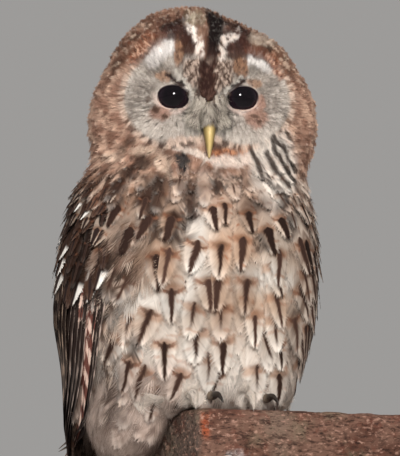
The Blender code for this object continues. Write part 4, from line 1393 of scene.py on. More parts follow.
    # loose barbs over the hood, which soften it and its outline
    loose = Tract("coat_head_barbs", 0.95)
    roots = OUTER.scatter(hood_spacing, rng)
    _, _, h, _, ahead = face_measures(roots)
    big = np.maximum(ramp(0.7, 0.1, ahead), ramp(-0.015, -0.045, h)) * (1 - 0.5 * ramp(0.020, 0.034, h))
    lay(loose, OUTER, roots, lie, 0.0090 + 0.0060 * big + rng.normal(0, 0.0008, len(roots)),
        0.0040 + 0.0026 * big, TUFTS, coat_depth(roots) * 0.5, 0.0013,
        feather_colours(markings(roots), rng, pale=0.10, spread=0.12), rng, wobble=0.28, crown=0.0003,
        stray=0.0006)
    loose.build(down)


ROWS_TOP = 0.140              # the large marked feathers' rows start this far over the perch
ROW_STEP = 0.0178
COLUMN_STEP = 8.5             # degrees round the trunk where they start


ON_WING = 0.0016              # a point nearer than this to a wing's solid is on it
MARKED_GAP = 0.0105           # between marked feathers outside the rows
START_RADIUS = 0.072          # of the ring that the rows start from


def on_wing(points):
    return np.minimum(WING["right"].distance(points), WING["left"].distance(points)) < ON_WING


def degrees_round(points):
    return np.degrees(trunk_angle(points))


def stays_off_wing(roots, lengths):
    """False for a feather that would run far out over the wing."""
    lines, _, _ = trace(OUTER, roots, lie, lengths, 4)
    tips = lines[:, -1]
    return ~(on_wing(tips) & (np.abs(degrees_round(tips)) > 78) & (tips[:, 2] < PERCH_TOP + 0.100))


def build_body_coat(contour, down):
    rng = np.random.default_rng(12)
    body = Tract("coat_body", 0.88)

    def is_off(points):
        _, _, h, _, ahead = face_measures(points)
        return (h > -0.046 + 0.010 * ahead) | on_wing(points) | (TAIL.distance(points) < 0.001) | (
            FEET.distance(points) < 0.002)

    def fine_spacing(points, normals):
        size = 0.0062 - 0.0014 * ramp(0.03, 0.0, points[:, 2] - PERCH_TOP)
        return np.where(is_off(points), 0, size)

    roots = OUTER.scatter(fine_spacing, rng)
    z = roots[:, 2] - PERCH_TOP
    angle = np.abs(degrees_round(roots))
    belly = ramp(0.030, 0.005, z)
    found = markings(roots)
    length = 0.026 - 0.006 * belly - 0.006 * ramp(0.12, 0.15, z) + rng.normal(0, 0.0015, len(roots))
    width = 0.0118 + rng.normal(0, 0.0008, len(roots)) - 0.002 * ramp(0.12, 0.15, z)
    soft = rng.random(len(roots)) < 0.35 + 0.6 * np.maximum(belly, right_flank(roots))
    clear = stays_off_wing(roots, length)
    for group, shapes in ((~soft & clear, BODY_SHAPES), (soft & clear, DOWN_SHAPES)):
        plain = np.where(angle[group] > 95, 0.8, 0.10)
        lay(body, OUTER, roots[group], lie, length[group], width[group], shapes,
            coat_depth(roots[group]) * 0.9, -0.0016 * ramp(100, 85, angle[group]),
            feather_colours([f[group] for f in found], rng, pale=0.20, spread=0.06, marked=plain), rng,
            wobble=0.18, stray=0.0004)

    # the large marked feathers, in rows that follow the lie down from the throat
    starts = []
    for degrees in np.arange(-99, 100, COLUMN_STEP):
        a = math.radians(degrees + rng.normal(0, 0.8)) + BREAST_MIDDLE * 0.5
        starts.append([math.sin(a) * START_RADIUS, TRUNK_AXIS_Y - math.cos(a) * START_RADIUS,
                       PERCH_TOP + ROWS_TOP])
    lines, _, _ = trace(OUTER, np.array(starts), lie, np.full(len(starts), ROWS_TOP), 80)
    marked = []
    for line in lines:
        run = np.concatenate([[0], np.cumsum(np.linalg.norm(np.diff(line, axis=0), axis=1))])
        steps = ROW_STEP * (0.62 + 0.38 * ramp(0.0, 0.030, np.arange(0, run[-1], ROW_STEP * 0.75)))
        places = np.cumsum(steps) - ROW_STEP * rng.uniform(0.0, 0.90)
        places = places[(places > 0) & (places < run[-1])]
        places = places + rng.normal(0, 0.0018, len(places))
        marked.append(np.stack([np.interp(places, run, line[:, k]) for k in range(3)], 1))
    marked = np.concatenate(marked)
    marked = marked + rng.normal(0, 0.0013, marked.shape)
    marked = marked[~is_off(marked)]

    def gap_spacing(points, normals):
        low = (points[:, 2] < PERCH_TOP + ROWS_TOP) & (np.abs(degrees_round(points)) < 95)
        return np.where(low & ~is_off(points), MARKED_GAP, 0)

    between = OUTER.scatter(gap_spacing, rng)
    apart = np.linalg.norm(between[:, None] - marked[None], axis=2).min(axis=1)

    def other_spacing(points, normals):
        back = np.abs(degrees_round(points)) > 100
        throat = points[:, 2] > PERCH_TOP + ROWS_TOP + 0.002
        return np.where((back | throat) & ~is_off(points), np.where(back, MARKED_GAP, 0.0085), 0)

    marked = np.concatenate([marked, between[apart > 0.0098], OUTER.scatter(other_spacing, rng, tries=30)])
    z = marked[:, 2] - PERCH_TOP
    turned = degrees_round(marked)
    found = list(markings(marked))
    small = ramp(0.115, 0.142, z)
    length = 0.046 - 0.018 * small + rng.normal(0, 0.0030, len(marked))
    width = 0.0200 - 0.0070 * small + rng.normal(0, 0.0016, len(marked))
    behind = np.abs(turned) > 96
    length[behind] *= 0.80
    width[behind] *= 0.75
    soft = rng.random(len(marked)) < right_flank(marked)
    clear = stays_off_wing(marked, length)
    # a feather's streak shows 30 mm under its root
    bold = bands(turned, z * 1000 - 30, *((4.6, *line) for line in CHAINS)) * ramp(100, 85, np.abs(turned))
    found[2] = (found[2] * (0.85 + 0.65 * bold)).clip(0, 0.42)
    found[1] = found[1] * (1 - 0.5 * bold)[:, None]
    found[1] = found[1] * rng.uniform(0.7, 2.6, (len(marked), 1))
    for group, shapes in ((~soft & clear, MARKED_SHAPES), (soft & clear, DOWN_SHAPES)):
        lay(body, OUTER, marked[group], lie, length[group], width[group], shapes,
            coat_depth(marked[group]) * 0.8, 0.0010 - 0.0020 * ramp(50, 75, np.abs(turned[group])),
            feather_colours([f[group] for f in found], rng, pale=0.58, spread=0.12), rng,
            wobble=0.13, crown=0.0014, stray=0.0005, steps=7)
    body.build(contour)

    # long loose down on the right flank, the lower belly and under the tail
    fluff = Tract("coat_fluff")

    def fluff_spacing(points, normals):
        z = points[:, 2] - PERCH_TOP
        low = ramp(0.028, 0.008, z) * ramp(130, 110, np.abs(degrees_round(points)))
        vent = ramp(0.004, -0.004, z) * ramp(0.080, 0.070, points[:, 1])
        amount = np.maximum(np.maximum(right_flank(points), low), vent)
        return np.where((amount > 0.3) & ~is_off(points), 0.0034, 0)

    def fluff_lie(points, normals):
        angle = trunk_angle(points)
        back = np.stack([-np.cos(angle), -np.sin(angle), np.zeros_like(angle)], 1)
        return tangent(lie(points, normals) + back * right_flank(points)[:, None] * 0.6, normals)

    roots = OUTER.scatter(fluff_spacing, rng)
    found = markings(roots)
    length = 0.017 + rng.normal(0, 0.002, len(roots))
    lay(fluff, OUTER, roots, fluff_lie, length, 0.0085, LONG_TUFTS, 0.0015, 0.0018,
        feather_colours(found, rng, pale=0.12, spread=0.11), rng, wobble=0.26, crown=0.0006, stray=0.0008)
    fluff.build(down)


COVERED_CLAWS = ("claw_right_3", "claw_left_2", "claw_left_4", "claw_right_4")


def build_foot_coat(down):
    rng = np.random.default_rng(13)
    pale = mix(WHITE, CREAM, 0.5)
    feet = Tract("coat_feet")

    def spacing(points, normals):
        near = FEET.distance(points) < 0.0012
        return np.where(near & (points[:, 2] > PERCH_TOP + 0.001), 0.0014, 0)

    def down_the_toe(points, normals):
        return tangent(np.tile(np.array([0.0, -1.0, -0.35]), (len(points), 1)), normals)

    roots = OUTER.scatter(spacing, rng)
    found = one_colour(len(roots), pale, MID_BROWN)
    lay(feet, OUTER, roots, down_the_toe, 0.0042 + rng.normal(0, 0.0005, len(roots)), 0.0018, FACE_SHAPES,
        0.0008, 0.0005, feather_colours(found, rng, pale=0.3), rng, wobble=0.35, crown=0.0001, stray=0.0002)
    feet.build(down)

    # the toes nearer the body's middle lie deeper in loose fluff
    fluff = Tract("coat_toe_fluff")
    for name in COVERED_CLAWS:
        low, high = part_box(name)
        middle = (np.array(low) + np.array(high)) / 2

        def by_the_claw(points, normals):
            apart = np.linalg.norm((points - middle) * (1.0, 0.8, 0.7), axis=1)
            return np.where((apart < 0.0085) & (points[:, 2] > PERCH_TOP + 0.003), 0.0011, 0)

        def over_the_claw(points, normals):
            return tangent((middle - points) * 40 + np.array([0.0, -1.0, -0.6]), normals)

        form = joined(OUTER, node_surface(name))
        roots = form.scatter(by_the_claw, rng)
        found = one_colour(len(roots), pale, MID_BROWN)
        lay(fluff, form, roots, over_the_claw, 0.0100 + rng.normal(0, 0.001, len(roots)), 0.0036, TUFTS,
            0.0003, 0.0020, feather_colours(found, rng, pale=0.2), rng, wobble=0.25, crown=0.0006,
            stray=0.0008)
    fluff.build(down)


def build_wing_coat(side, contour, flight):
    sign = SIGN[side]
    rng = np.random.default_rng(31 if side == "right" else 32)
    wing = WING[side]
    form = joined(OUTER, wing)
    low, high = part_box(f"wing_{side}")
    angles = np.abs(np.arctan2(wing.verts[:, 0] * sign, -(wing.verts[:, 1] - TRUNK_AXIS_Y)))
    heights = wing.verts[:, 2]
    levels = np.linspace(low.z + 0.003, high.z - 0.003, 24)
    edges = [angles[np.abs(heights - z) < 0.0075] for z in levels]
    fronts = np.array([e.min() for e in edges])
    backs = np.array([e.max() for e in edges])

    def place(z, offset, share):
        """A point on the wing's outer face: metres from its front edge, and a share of what is left."""
        front, back = np.interp(z, levels, fronts), np.interp(z, levels, backs)
        start_angle = front + offset / WING_RADIUS
        angle = min(start_angle + max(back - start_angle, 0) * share, back - 0.02)
        out = Vector((sign * math.sin(angle), -math.cos(angle), 0))
        start = Vector((0, TRUNK_AXIS_Y, z)) + out * 0.3         # well outside the bird
        hit = form.tree.ray_cast(start, -out)[0] or form.tree.find_nearest(start)[0]
        return hit, out

    # quills: root height, tip height, offset and share at the root, at the tip, webs, lift, bars
    rows = []
    on_flank = 3
    for i in range(on_flank):               # the outermost lie over the flank's edge
        rows.append((0.096, -0.028 - 0.006 * i, 0.0030 * i - 0.0085, 0.0, 0.0027 * i - 0.0080, 0.0,
                     0.0034, 0.0060, 0.0026 + 0.0001 * i, 0.50))
    tips = (-0.036, -0.044, -0.057, -0.0645, -0.062, -0.058, -0.053, -0.048, -0.043, -0.038)
    for i, tip in enumerate(tips):          # primaries from the front edge inwards
        rows.append((0.100, tip, 0.0006 + 0.0042 * i, 0.0, 0.0004 + 0.0034 * i,
                     0.02 * i + 0.11 * max(0, i - 3),
                     0.0034, 0.0120, 0.0022 + 0.00018 * i, 0.50))
    for i in range(12):                     # secondaries
        rows.append((0.104, -0.026 + 0.0012 * i, 0.0285, 0.047 * i, 0.0240, 0.05 + 0.050 * i,
                     0.0060, 0.0130, 0.0036 + 0.00020 * i, 0.40))
    for i in range(6):                      # tertials, the innermost on top
        rows.append((0.112, -0.012 + 0.009 * i, 0.0285, 0.56 + 0.085 * i, 0.0240, 0.62 + 0.075 * i,
                     0.0085, 0.0120, 0.0058 + 0.0003 * i, 0.34))
    first_secondary = on_flank + len(tips)
    steps = 14
    lines, normals = [], []
    for root_z, tip_z, at_root, share_root, at_tip, share_tip, *_ in rows:
        line = [place(PERCH_TOP + root_z + (tip_z - root_z) * t, at_root + (at_tip - at_root) * t**2,
                      share_root + (share_tip - share_root) * t**2) for t in np.linspace(0, 1, steps)]
        lines.append([tuple(at) for at, _ in line])
        normals.append([tuple(out) for _, out in line])
    lines, normals = np.array(lines), np.array(normals)
    for _ in range(4):
        lines[:, 1:-1] = (lines[:, :-2] + 2 * lines[:, 1:-1] + lines[:, 2:]) / 4
    outer, inner, lifts, bars = np.array([row[6:] for row in rows]).T
    ways = unit(np.gradient(lines, axis=1))
    forward = unit(np.cross(normals, ways)) * -sign          # towards the wing's front edge
    left = laid_on(form, lines + forward * outer[:, None, None], 0.6)
    right = laid_on(form, lines - forward * inner[:, None, None], 0.6)
    number = len(rows)
    pinkish = np.isin(np.arange(number), (2, 3))
    base = np.tile(rgb(222, 196, 182), (number, 1)) * (0.40 + 0.55 * rng.random((number, 1)))
    base[first_secondary:] = mix(BUFF, CREAM, 0.35)
    base[pinkish] = rgb(255, 222, 204)
    dark = np.tile(rgb(36, 24, 20), (number, 1)) * (1 + rng.normal(0, 0.10, (number, 1)))
    dark[pinkish] = rgb(118, 72, 62)
    strength = np.where(pinkish, 0.0, np.where(np.arange(number) < first_secondary + 2, 1.0, 0.62))
    style = np.stack([bars, strength, np.full(number, 0.4), rng.random(number)], 1)
    colours = {"base": with_alpha(base, 1), "mark": with_alpha(dark, 1), "style": style}
    quills = Tract(f"quills_{side}")
    rising = ramp(0.0, 0.4, np.linspace(0, 1, steps))[None]
    quills.add(lines, (left, right), normals, QUILL_SHAPES, (lifts[:, None] + 0.0015) * rising - 0.0015,
               0.0005, 0.00005, colours, rng)
    quills.build(flight)

    # coverts and scapulars over the quills' roots
    cover = Tract(f"coat_wing_{side}")

    def spacing(points, normals):
        near = wing.distance(points) < 0.0060
        z = points[:, 2] - PERCH_TOP
        out = np.stack([points[:, 0], points[:, 1] - TRUNK_AXIS_Y, np.zeros(len(points))], 1)
        outward = (unit(out) * normals).sum(1) > 0.1
        angle = np.degrees(np.abs(trunk_angle(points)))
        size = 0.0052 + 0.0024 * ramp(0.130, 0.095, z)
        # the scapulars reach lower towards the back
        floor = 0.090 - 0.016 * ramp(110, 150, angle)
        return np.where(near & outward & (z > floor) & (points[:, 0] * sign > 0), size, 0)

    roots = OUTER.scatter(spacing, rng)
    z = roots[:, 2] - PERCH_TOP
    angle = np.degrees(np.abs(trunk_angle(roots)))
    large = ramp(0.130, 0.095, z)
    back = ramp(105, 135, angle)
    length = 0.017 + 0.016 * large + rng.normal(0, 0.0015, len(roots))
    length = np.minimum(length, z - 0.070 + 0.020 * back + 0.014 * rng.random(len(roots)))
    width = 0.0092 + 0.0052 * large
    found = wing_markings(roots)
    spots = (rng.random(len(roots)) < 0.17) & (z < 0.112)
    spots |= (rng.random(len(roots)) < 0.15) & (angle < 112)
    grizzled = (rng.random(len(roots)) < 0.25) & (angle < 120) & (z > 0.108)
    found[0][grizzled] = mix(GREY_BROWN, CREAM, 0.25)
    found[2][grizzled] = 0.42
    colours = feather_colours(found, rng, pale=0.16, spread=0.16)
    colours["mark"][:, 3] = spots
    for far in (False, True):
        group = (back > 0.5) == far
        part = {key: rows[group] for key, rows in colours.items()}
        lay(cover, OUTER, roots[group], lie_of_wing, length[group], width[group],
            BODY_SHAPES if far else COVERT_SHAPES, 0.0014,
            0.0014 + 0.0014 * large[group] + 0.0008 * rng.random(group.sum()), part, rng, wobble=0.18,
            crown=0.0008, stray=0.0002)
    cover.build(contour)


TAIL_QUILLS = 12
TAIL_WEB = 0.0085             # the width of a tail quill's web, on each side of its shaft


def build_tail_coat(flight):
    """The quills with the middle pair on top, and the same fan seen from below."""
    rng = np.random.default_rng(41)
    low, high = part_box("tail")
    middle_x = (low.x + high.x) / 2
    root_z, tip_z = high.z - 0.004, low.z + 0.001
    tract = Tract("quills_tail")
    steps = 9
    lines, normals, lifts = [], [], []
    for face in (1, -1):
        for i in range(TAIL_QUILLS):
            share = (i - (TAIL_QUILLS - 1) / 2) / ((TAIL_QUILLS - 1) / 2)
            rank = abs(share)
            line, norm = [], []
            for t in np.linspace(0, 1, steps):
                z = root_z + (tip_z + 0.010 * rank**2 - root_z) * t
                start = Vector((middle_x + share * (0.012 + 0.012 * t), face * 0.4, z))
                hit = TAIL.tree.ray_cast(start, Vector((0, -face, 0)))[0] or TAIL.tree.find_nearest(start)[0]
                line.append(tuple(hit))
                norm.append((share * 0.25, face, 0))
            lines.append(line)
            normals.append(norm)
            lifts.append(0.0004 + (1 - rank) * 0.0016)
    lines, normals = np.array(lines), unit(np.array(normals))
    lifts = np.array(lifts)
    ways = unit(np.gradient(lines, axis=1))
    across = unit(np.cross(normals, ways))
    left = laid_on(TAIL, lines + across * TAIL_WEB, 0.6)
    right = laid_on(TAIL, lines - across * TAIL_WEB, 0.6)
    number = len(lines)
    base = np.tile(mix(BUFF, GREY_BROWN, 0.5), (number, 1)) * (1 + rng.normal(0, 0.06, (number, 1)))
    style = np.stack([*np.broadcast_arrays(0.40, 0.7, 0.8, rng.random(number))], 1)
    colours = {"base": with_alpha(base, 1),
               "mark": with_alpha(np.tile(mix(MID_BROWN, DARK, 0.5), (number, 1)), 1), "style": style}
    tract.add(lines, (left, right), normals, QUILL_SHAPES, lifts[:, None] * np.ones((1, steps)),
              0.0004, 0.00005, colours, rng)
    tract.build(flight)


BALL_RADIUS = EYE_RADIUS * 1.08       # the ball fills the opening's corners; its front stays where it was


def build_eyes():
    """Eyeballs and lids; gives the lids' surface, for the feathers that stand on it."""
    # a near-black brown eye whose pupil and iris can hardly be told apart
    wet = mottled_material("eye_wet", (0.015, 0.0001), 0.06,
                           (700.0, 3.0, 0.5, rgb(34, 20, 28), 0.45, 0.75, 0.25), Specular_IOR_Level=0.28)
    lid = mottled_material("eyelid", (0.5, 0.0004), 0.7, (1500.0, 4.0, 0.6, rgb(52, 38, 38), 0.5, 0.3, 0.4),
                           Specular_IOR_Level=0.2)
    rims = []
    for side, centre in (("right", EYE_R), ("left", EYE_L)):
        sign = SIGN[side]
        bm = bmesh.new()
        bmesh.ops.create_uvsphere(bm, u_segments=64, v_segments=40, radius=BALL_RADIUS)
        mesh = bpy.data.meshes.new(f"eyeball_{side}")
        bm.to_mesh(mesh)
        bm.free()
        co, _, tri = mesh_arrays(mesh)
        gaze = HEAD_ROT @ unit(np.array([sign * 0.10, -1.0, 0]))
        looking = unit(co) @ gaze
        # a slight corneal bulge; the ball sits a little towards the bill in its opening
        middle = np.array(centre) + HEAD_ROT @ np.array([-sign * EYE_INWARD, BALL_RADIUS - EYE_RADIUS, 0])
        co = co * (1 + 0.030 * ramp(0.72, 0.93, looking))[:, None] + middle
        eye = mesh_object(f"eyeball_{side}", co, tri, wet)
        shade = mix(np.tile(rgb(24, 14, 22), (len(co), 1)), rgb(7, 4, 8), ramp(0.80, 0.90, looking))
        point_colour(eye.data, "base", shade)
        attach(eye, "root")
        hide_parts(f"eye_{side}")
        rims.append(build_lids(side, np.array(centre), middle, lid))
    return joined(*rims)


LID_WIDTH = 0.0096            # half of the eye's opening, across
LID_TOP = 0.0067
LID_BOTTOM = 0.0074
LID_INWARD = 0.0012           # the opening's middle lies this much nearer the bill than the solid eye's
LID_DOWN = 0.0008
EYE_INWARD = 0.0014           # and the ball's middle this much


def eye_opening(a):
    """The rim at angle a, 0 outwards and a quarter turn up: across from the eye's middle, and height."""
    c, s = math.cos(a), math.sin(a)
    x = LID_WIDTH * math.copysign(abs(c) ** 0.92, c)
    height, flat, cut = (LID_TOP, 0.74, 0.62) if s > 0 else (LID_BOTTOM, 0.84, 0.05)
    h = height * math.copysign(abs(s) ** flat, s)
    inner = max(0.0, -c) ** 2                    # the inner corner is drawn out towards the bill
    drawn = 0.0020 * inner**2
    return x - drawn - LID_INWARD, h * (1 - cut * inner) - drawn - LID_DOWN


def build_lids(side, centre, ball, material):
    """A thin rim round the opening, laid on the eyeball inside and running out onto the face."""
    sign = SIGN[side]
    around = 72
    profile = ((-0.0002, -0.0010), (-0.0003, 0.0001), (0.0000, 0.0005), (0.0005, 0.0006), (0.0011, 0.0002))
    on_rim = 3                   # the profile's first points carry the rim's own colour
    local_ball = (ball - centre) @ HEAD_ROT
    rows, flange, colours = [], [], []
    for i in range(around):
        a = 2 * math.pi * i / around
        x, h = eye_opening(a)
        from_ball = np.array([sign * x - local_ball[0], h])
        along = math.sqrt(max(BALL_RADIUS**2 * 1.01 - (from_ball**2).sum(), 1e-8))
        rim = np.array([sign * x, local_ball[1] - along, h])
        out = unit(np.array([sign * x, 0, h]))
        ray = unit(rim - local_ball)
        wide = 1 + 0.7 * ramp(0.1, 0.8, math.sin(a)) * ramp(0.5, -0.5, math.cos(a))
        rows.append([rim + out * p * wide + ray * q for p, q in profile])
        flange.append([rim + out * reach - ray * 0.0005 for reach in (0.0022, 0.0040)])
        low = ramp(0.1, -0.5, math.sin(a)) * ramp(-0.9, -0.2, math.cos(a))
        dark, pink = rgb(30, 20, 24), rgb(190, 164, 152)
        brow = ramp(0.1, 0.5, math.sin(a)) * ramp(0.4, -0.2, math.cos(a))
        shade = dark + (pink - dark) * low
        colours.append(shade + (rgb(112, 104, 102) - shade) * brow * 0.8)
    rows = np.array(rows) @ HEAD_ROT.T + centre
    flange = np.array(flange) @ HEAD_ROT.T + centre
    on_face, normal = OUTER.snap(flange.reshape(-1, 3))
    flange = (on_face - normal * 0.0002).reshape(flange.shape)
    grid = np.concatenate([rows, flange], 1)
    count = grid.shape[1]
    index = np.arange(around * count).reshape(around, count)
    index = np.concatenate([index, index[:1]])
    tris = quads(index[:-1, :-1], index[1:, :-1], index[1:, 1:], index[:-1, 1:])[:, ::-sign]
    verts = grid.reshape(-1, 3)
    painted = markings(verts)[0].reshape(around, count, 3)
    painted[:, :on_rim] = np.array(colours)[:, None]
    lids = mesh_object(f"eyelids_{side}", verts, tris, material)
    point_colour(lids.data, "base", painted.reshape(-1, 3))
    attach(lids, "root")
    return Surface(*mesh_arrays(lids.data))


def quads(a, b, c, d):
    """Two triangles for each corner of the four arrays of point numbers."""
    return np.stack([a, b, c, a, c, d], -1).reshape(-1, 3)


def tube_mesh(points, frames, section, around):
    """Verts and tris of a closed tube; section(t, angle) gives (across, up) in metres at share t."""
    verts, rows = [], len(points)
    for i, (point, (across, up)) in enumerate(zip(points, frames)):
        for k in range(around):
            a, b = section(i / (rows - 1), 2 * math.pi * k / around)
            verts.append(point + across * a + up * b)
    ring = np.arange(rows * around).reshape(rows, around)
    ring = np.concatenate([ring, ring[:, :1]], 1)
    tris = [quads(ring[:-1, :-1], ring[:-1, 1:], ring[1:, 1:], ring[1:, :-1])]
    for row, turn in ((0, -1), (rows - 1, 1)):
        centre = np.full(around, len(verts))
        verts.append(np.mean(verts[row * around:(row + 1) * around], axis=0))
        tris.append(np.stack([ring[row, :-1], ring[row, 1:], centre], 1)[:, ::turn])
    return np.array(verts), np.concatenate(tris)


def build_bill():
    """Hooked bill with a keeled ridge, a cutting edge and a lower half tucked under it."""
    root, root_radius = np.array([0.0, -0.0400, -0.0060]), 0.0058
    tip, tip_radius = np.array([0.0, -0.0540, -0.0385]), 0.0006
    rows, around = 30, 28
    points = []
    for i in range(rows):
        t = i / (rows - 1)
        p = root + (tip - root) * t
        p[1] -= 0.0080 * math.sin(math.pi * t) * (1 - 0.25 * t)
        points.append(p)
    points = np.array(points)
    ways = unit(np.gradient(points, axis=0))
    frames = [(np.array([1.0, 0, 0]), unit(np.cross(w, np.array([1.0, 0, 0])))) for w in ways]

    def section(t, angle):
        size = root_radius + (tip_radius - root_radius) * t**2.1
        s, c = math.sin(angle), math.cos(angle)
        across = 0.80 * size * math.copysign(abs(c) ** 0.9, c)
        up = size * s
        if s > 0:
            up *= 0.90 + 0.20 * t
            across *= 1 - 0.34 * s**2          # the ridge is keeled
        else:
            up *= 0.85
        groove = math.exp(-((s + 0.25) / 0.10) ** 2)
        return across * (1 - 0.10 * groove), up

    verts, tris = tube_mesh(points, frames, section, around)
    if (np.cross(verts[tris[0, 1]] - verts[tris[0, 0]], verts[tris[0, 2]] - verts[tris[0, 0]])
            @ (verts[tris[0, 0]] - points[0])) < 0:
        tris = tris[:, ::-1]
    ridge = np.zeros(len(verts))
    t_row = np.ones(len(verts))
    ridge[:-2] = np.tile([max(0.0, math.sin(2 * math.pi * k / around)) ** 3 for k in range(around)], rows)
    t_row[:-2] = np.repeat([i / (rows - 1) for i in range(rows)], around)
    colour = mix(np.tile(rgb(120, 100, 52), (len(verts), 1)), rgb(206, 180, 118), ridge)
    colour = mix(colour, rgb(214, 188, 140), ramp(0.75, 1.0, t_row) * 0.6)
    colour = mix(colour, rgb(160, 150, 112), ramp(0.45, 0.25, t_row) * 0.6)
    horn = mottled_material("bill_horn", (0.15, 0.0004, 0.3), (0.30, 0.46),
                            (520.0, 4.0, 0.55, rgb(112, 100, 52), 0.50, 0.72, 0.35),
                            (2600.0, 2.0, 0.5, rgb(240, 228, 180), 0.62, 0.80, 0.25),
                            Coat_Weight=0.15, Coat_Roughness=0.2)
    bill = mesh_object("bill_horn", from_head(verts), tris, horn)
    point_colour(bill.data, "base", colour)
    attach(bill, "root")
    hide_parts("bill")
    return Surface(*mesh_arrays(bill.data))


def build_claws():
    """Finer claws along the solids' middle lines."""
    material = mottled_material("claw_horn", (0.2, 0.0003), (0.25, 0.42),
                                (900.0, 4.0, 0.6, rgb(96, 84, 72), 0.55, 0.8, 0.3), Coat_Weight=0.1)
    rows, around = 22, 18
    for side in SIGN:
        foot_low, foot_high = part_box(f"foot_{side}")
        middle = (np.array(foot_low) + np.array(foot_high)) / 2
        for toe in range(1, 5):
            name = f"claw_{side}_{toe}"
            co, _, _ = node_arrays(name)
            # the claw points away from the foot: its middle line from the near end to the far end
            aim = unit((co[:, :2] - middle[:2]).mean(0))
            spine = co[:, :2] @ aim
            reach = np.linspace(spine.min(), spine.max(), 7)
            line = np.array([co[np.abs(spine - a) < (reach[1] - reach[0]) * 0.8].mean(0) for a in reach])
            radius = (co[:, 2].max() - co[:, 2].min()) * 0.29
            t, knots = np.linspace(0, 1, rows), np.linspace(0, 1, len(line))
            points = np.stack([np.interp(t, knots, line[:, k]) for k in range(3)], 1)
            for _ in range(4):
                points[1:-1] = (points[:-2] + points[1:-1] * 2 + points[2:]) / 4
            points[:, 2] += 0.0002
            side_way = np.array([-aim[1], aim[0], 0.0])
            frames = [(side_way, unit(np.cross(w, side_way))) for w in unit(np.gradient(points, axis=0))]

            def section(s, angle):
                size = radius * (1 - 0.90 * s**1.5)
                c, q = math.cos(angle), math.sin(angle)
                return 0.82 * size * c * (1 - 0.18 * max(0, q)), size * q

            verts, tris = tube_mesh(points, frames, section, around)
            claw = mesh_object(f"talon_{side}_{toe}", verts, tris, material)
            bm = bmesh.new()
            bm.from_mesh(claw.data)
            bmesh.ops.recalc_face_normals(bm, faces=bm.faces)
            bm.to_mesh(claw.data)
            bm.free()
            s = np.concatenate([np.repeat(t, around), [0.0, 1.0]])
            colour = mix(np.tile(rgb(112, 98, 84), (len(verts), 1)), rgb(38, 30, 26), ramp(0.05, 0.40, s))
            point_colour(claw.data, "base", colour)
            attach(claw, "root")
            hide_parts(name)


def build_timber():
    """Rough-sawn timber: a fine grid pushed in and out by layered noise, with worn corners."""
    low, high = np.array(TIMBER_LOW), np.array(TIMBER_HIGH)
    bm = bmesh.new()
    bmesh.ops.create_cube(bm, size=1)
    for v in bm.verts:
        v.co = Vector(tuple(low + (high - low) * (np.array(v.co) + 0.5)))
    mesh = bpy.data.meshes.new("timber_block")
    bm.to_mesh(mesh)
    bm.free()
    obj = linked(bpy.data.objects.new("timber_block", mesh))
    bevel = obj.modifiers.new("worn_edges", "BEVEL")
    bevel.width = 0.0050
    bevel.segments = 4
    remesh = obj.modifiers.new("grid", "REMESH")
    remesh.mode = "VOXEL"
    remesh.voxel_size = 0.0016
    co, no, tri = mesh_arrays(evaluated(obj))
    bpy.data.objects.remove(obj)
    stretched = co * np.array([0.30, 1.0, 1.0])
    relief = (value_noise(stretched, 0.0030, 51) - 0.5) * 0.0011
    relief += (value_noise(co, 0.0095, 52) - 0.5) * 0.0014
    relief += (value_noise(co, 0.0022, 53) - 0.5) * 0.0006
    flake = value_noise(co, 0.0055, 54)
    relief -= ramp(0.66, 0.78, flake) * 0.0010
    cracks = value_noise(co * np.array([0.12, 1.0, 1.0]), 0.0060, 55)
    relief -= ramp(0.035, 0.0, np.abs(cracks - 0.5)) * 0.0013
    top_under_feet = ramp(0.003, 0.0, high[2] - co[:, 2]) * ramp(0.055, 0.045, np.abs(co[:, 0]))
    relief = np.minimum(relief - 0.0003, 0.0001) * (1 - 0.7 * top_under_feet)
    co = co + no * relief[:, None]
    base = np.tile(rgb(124, 92, 78), (len(co), 1))
    base = mix(base, rgb(98, 66, 54), ramp(0.4, 0.75, value_noise(co, 0.012, 56)))
    base = mix(base, rgb(130, 112, 98), ramp(0.55, 0.85, value_noise(co, 0.020, 57)) * 0.6)
    end_face = ramp(0.004, 0.0, co[:, 0] - low[0])
    base = mix(base, rgb(92, 82, 74), end_face * 0.8)
    # the orange-stained fleck beside the front corner, and a white splash lower on the front
    drop = high[2] - co[:, 2]
    front = ramp(0.006, 0.002, co[:, 1] - low[1])
    from_fleck = np.abs(co[:, 0] - low[0] - 0.0048 + (value_noise(co, 0.006, 59) - 0.5) * 0.003)
    fleck = ramp(0.0030, 0.0012, from_fleck) * ramp(0.002, 0.004, drop) * ramp(0.020, 0.014, drop) * front
    base = mix(base, rgb(176, 88, 54), fleck * 0.85)
    splash = ramp(1.3, 0.7, np.hypot((co[:, 0] - low[0] - 0.0245) / 0.0058, (drop - 0.0285) / 0.0050)
                  + (value_noise(co, 0.003, 60) - 0.5) * 0.8)
    base = mix(base, rgb(226, 214, 210), splash * front * 0.9)
    timber = mesh_object("timber_rough", co, tri, timber_material())
    point_colour(timber.data, "base", base)
    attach(timber, "root")
    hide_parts("perch_timber")


def dress_stand():
    material = stand_material()
    for name in ("stand_base", "stand_rod_right", "stand_rod_left"):
        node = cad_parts[name]
        node.data.materials.clear()
        node.data.materials.append(material)


# ---- room, light and camera ----
VIEW_AZIMUTH = math.radians(-27)
VIEW_ELEVATION = math.radians(-10)
VIEW_DISTANCE = 1.0
VIEW_TARGET = Vector((0, 0, 0.265))
PIXELS_PER_METRE = 1600
PICTURE_HEIGHT = 456


def away(azimuth, elevation):
    """Unit vector from the target towards a viewer."""
    return Vector((math.sin(azimuth) * math.cos(elevation), -math.cos(azimuth) * math.cos(elevation),
                   math.sin(elevation)))


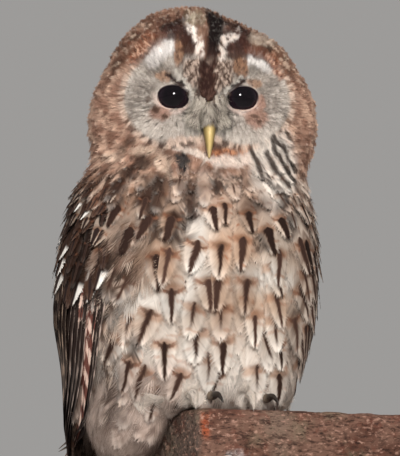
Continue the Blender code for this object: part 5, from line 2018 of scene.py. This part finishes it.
def build_camera():
    data = bpy.data.cameras.new("camera")
    data.sensor_fit = "VERTICAL"
    data.sensor_height = 36
    data.lens = 36 * PIXELS_PER_METRE * VIEW_DISTANCE / PICTURE_HEIGHT
    data.clip_start = 0.02
    camera = bpy.data.objects.new("camera", data)
    linked(camera)
    back = away(VIEW_AZIMUTH, VIEW_ELEVATION)
    camera.location = VIEW_TARGET + back * VIEW_DISTANCE
    camera.rotation_euler = back.to_track_quat("Z", "Y").to_euler()
    bpy.context.scene.camera = camera


def area_light(name, azimuth, elevation, distance, size, power, colour, in_gloss, spread=180):
    data = bpy.data.lights.new(name, "AREA")
    data.spread = math.radians(spread)
    data.shape = "DISK"
    data.size = size
    data.energy = power
    data.color = colour
    light = bpy.data.objects.new(name, data)
    linked(light)
    back = away(math.radians(azimuth), math.radians(elevation))
    light.location = VIEW_TARGET + back * distance
    light.rotation_euler = back.to_track_quat("Z", "Y").to_euler()
    light.visible_glossy = in_gloss


def build_room():
    floor = mesh_object("floor", np.array([(-3, -3, 0), (3, -3, 0), (3, 3, 0), (-3, 3, 0)], float),
                        np.array([(0, 1, 2), (0, 2, 3)]), floor_material())
    world = bpy.data.worlds.new("studio")
    bpy.context.scene.world = world
    world.use_nodes = True
    world.node_tree.nodes["Background"].inputs["Color"].default_value = (0.80, 0.78, 0.76, 1)
    world.node_tree.nodes["Background"].inputs["Strength"].default_value = 0.42
    # azimuth, elevation, distance, size, power, colour, whether reflections show it, spread
    area_light("flash", -27, 10, 0.95, 0.12, 0.45, (1.0, 0.975, 0.95), True, 50)
    area_light("key", -12, 24, 1.5, 0.60, 1.3, (1.0, 0.965, 0.93), False, 60)
    area_light("fill", -75, 15, 1.8, 1.0, 3.5, (0.95, 0.97, 1.0), False)
    area_light("back", 130, 45, 1.8, 0.9, 8, (1.0, 0.98, 0.95), False)
    bpy.context.scene.view_settings.view_transform = "Standard"


def main():
    contour, flight, down = contour_material(), flight_material(), down_material()
    build_skin()
    build_head_coat(contour, down, build_eyes(), build_bill())
    build_body_coat(contour, down)
    build_foot_coat(down)
    for side in SIGN:
        build_wing_coat(side, contour, flight)
    build_tail_coat(flight)
    build_claws()
    build_timber()
    dress_stand()
    build_room()
    build_camera()


main()
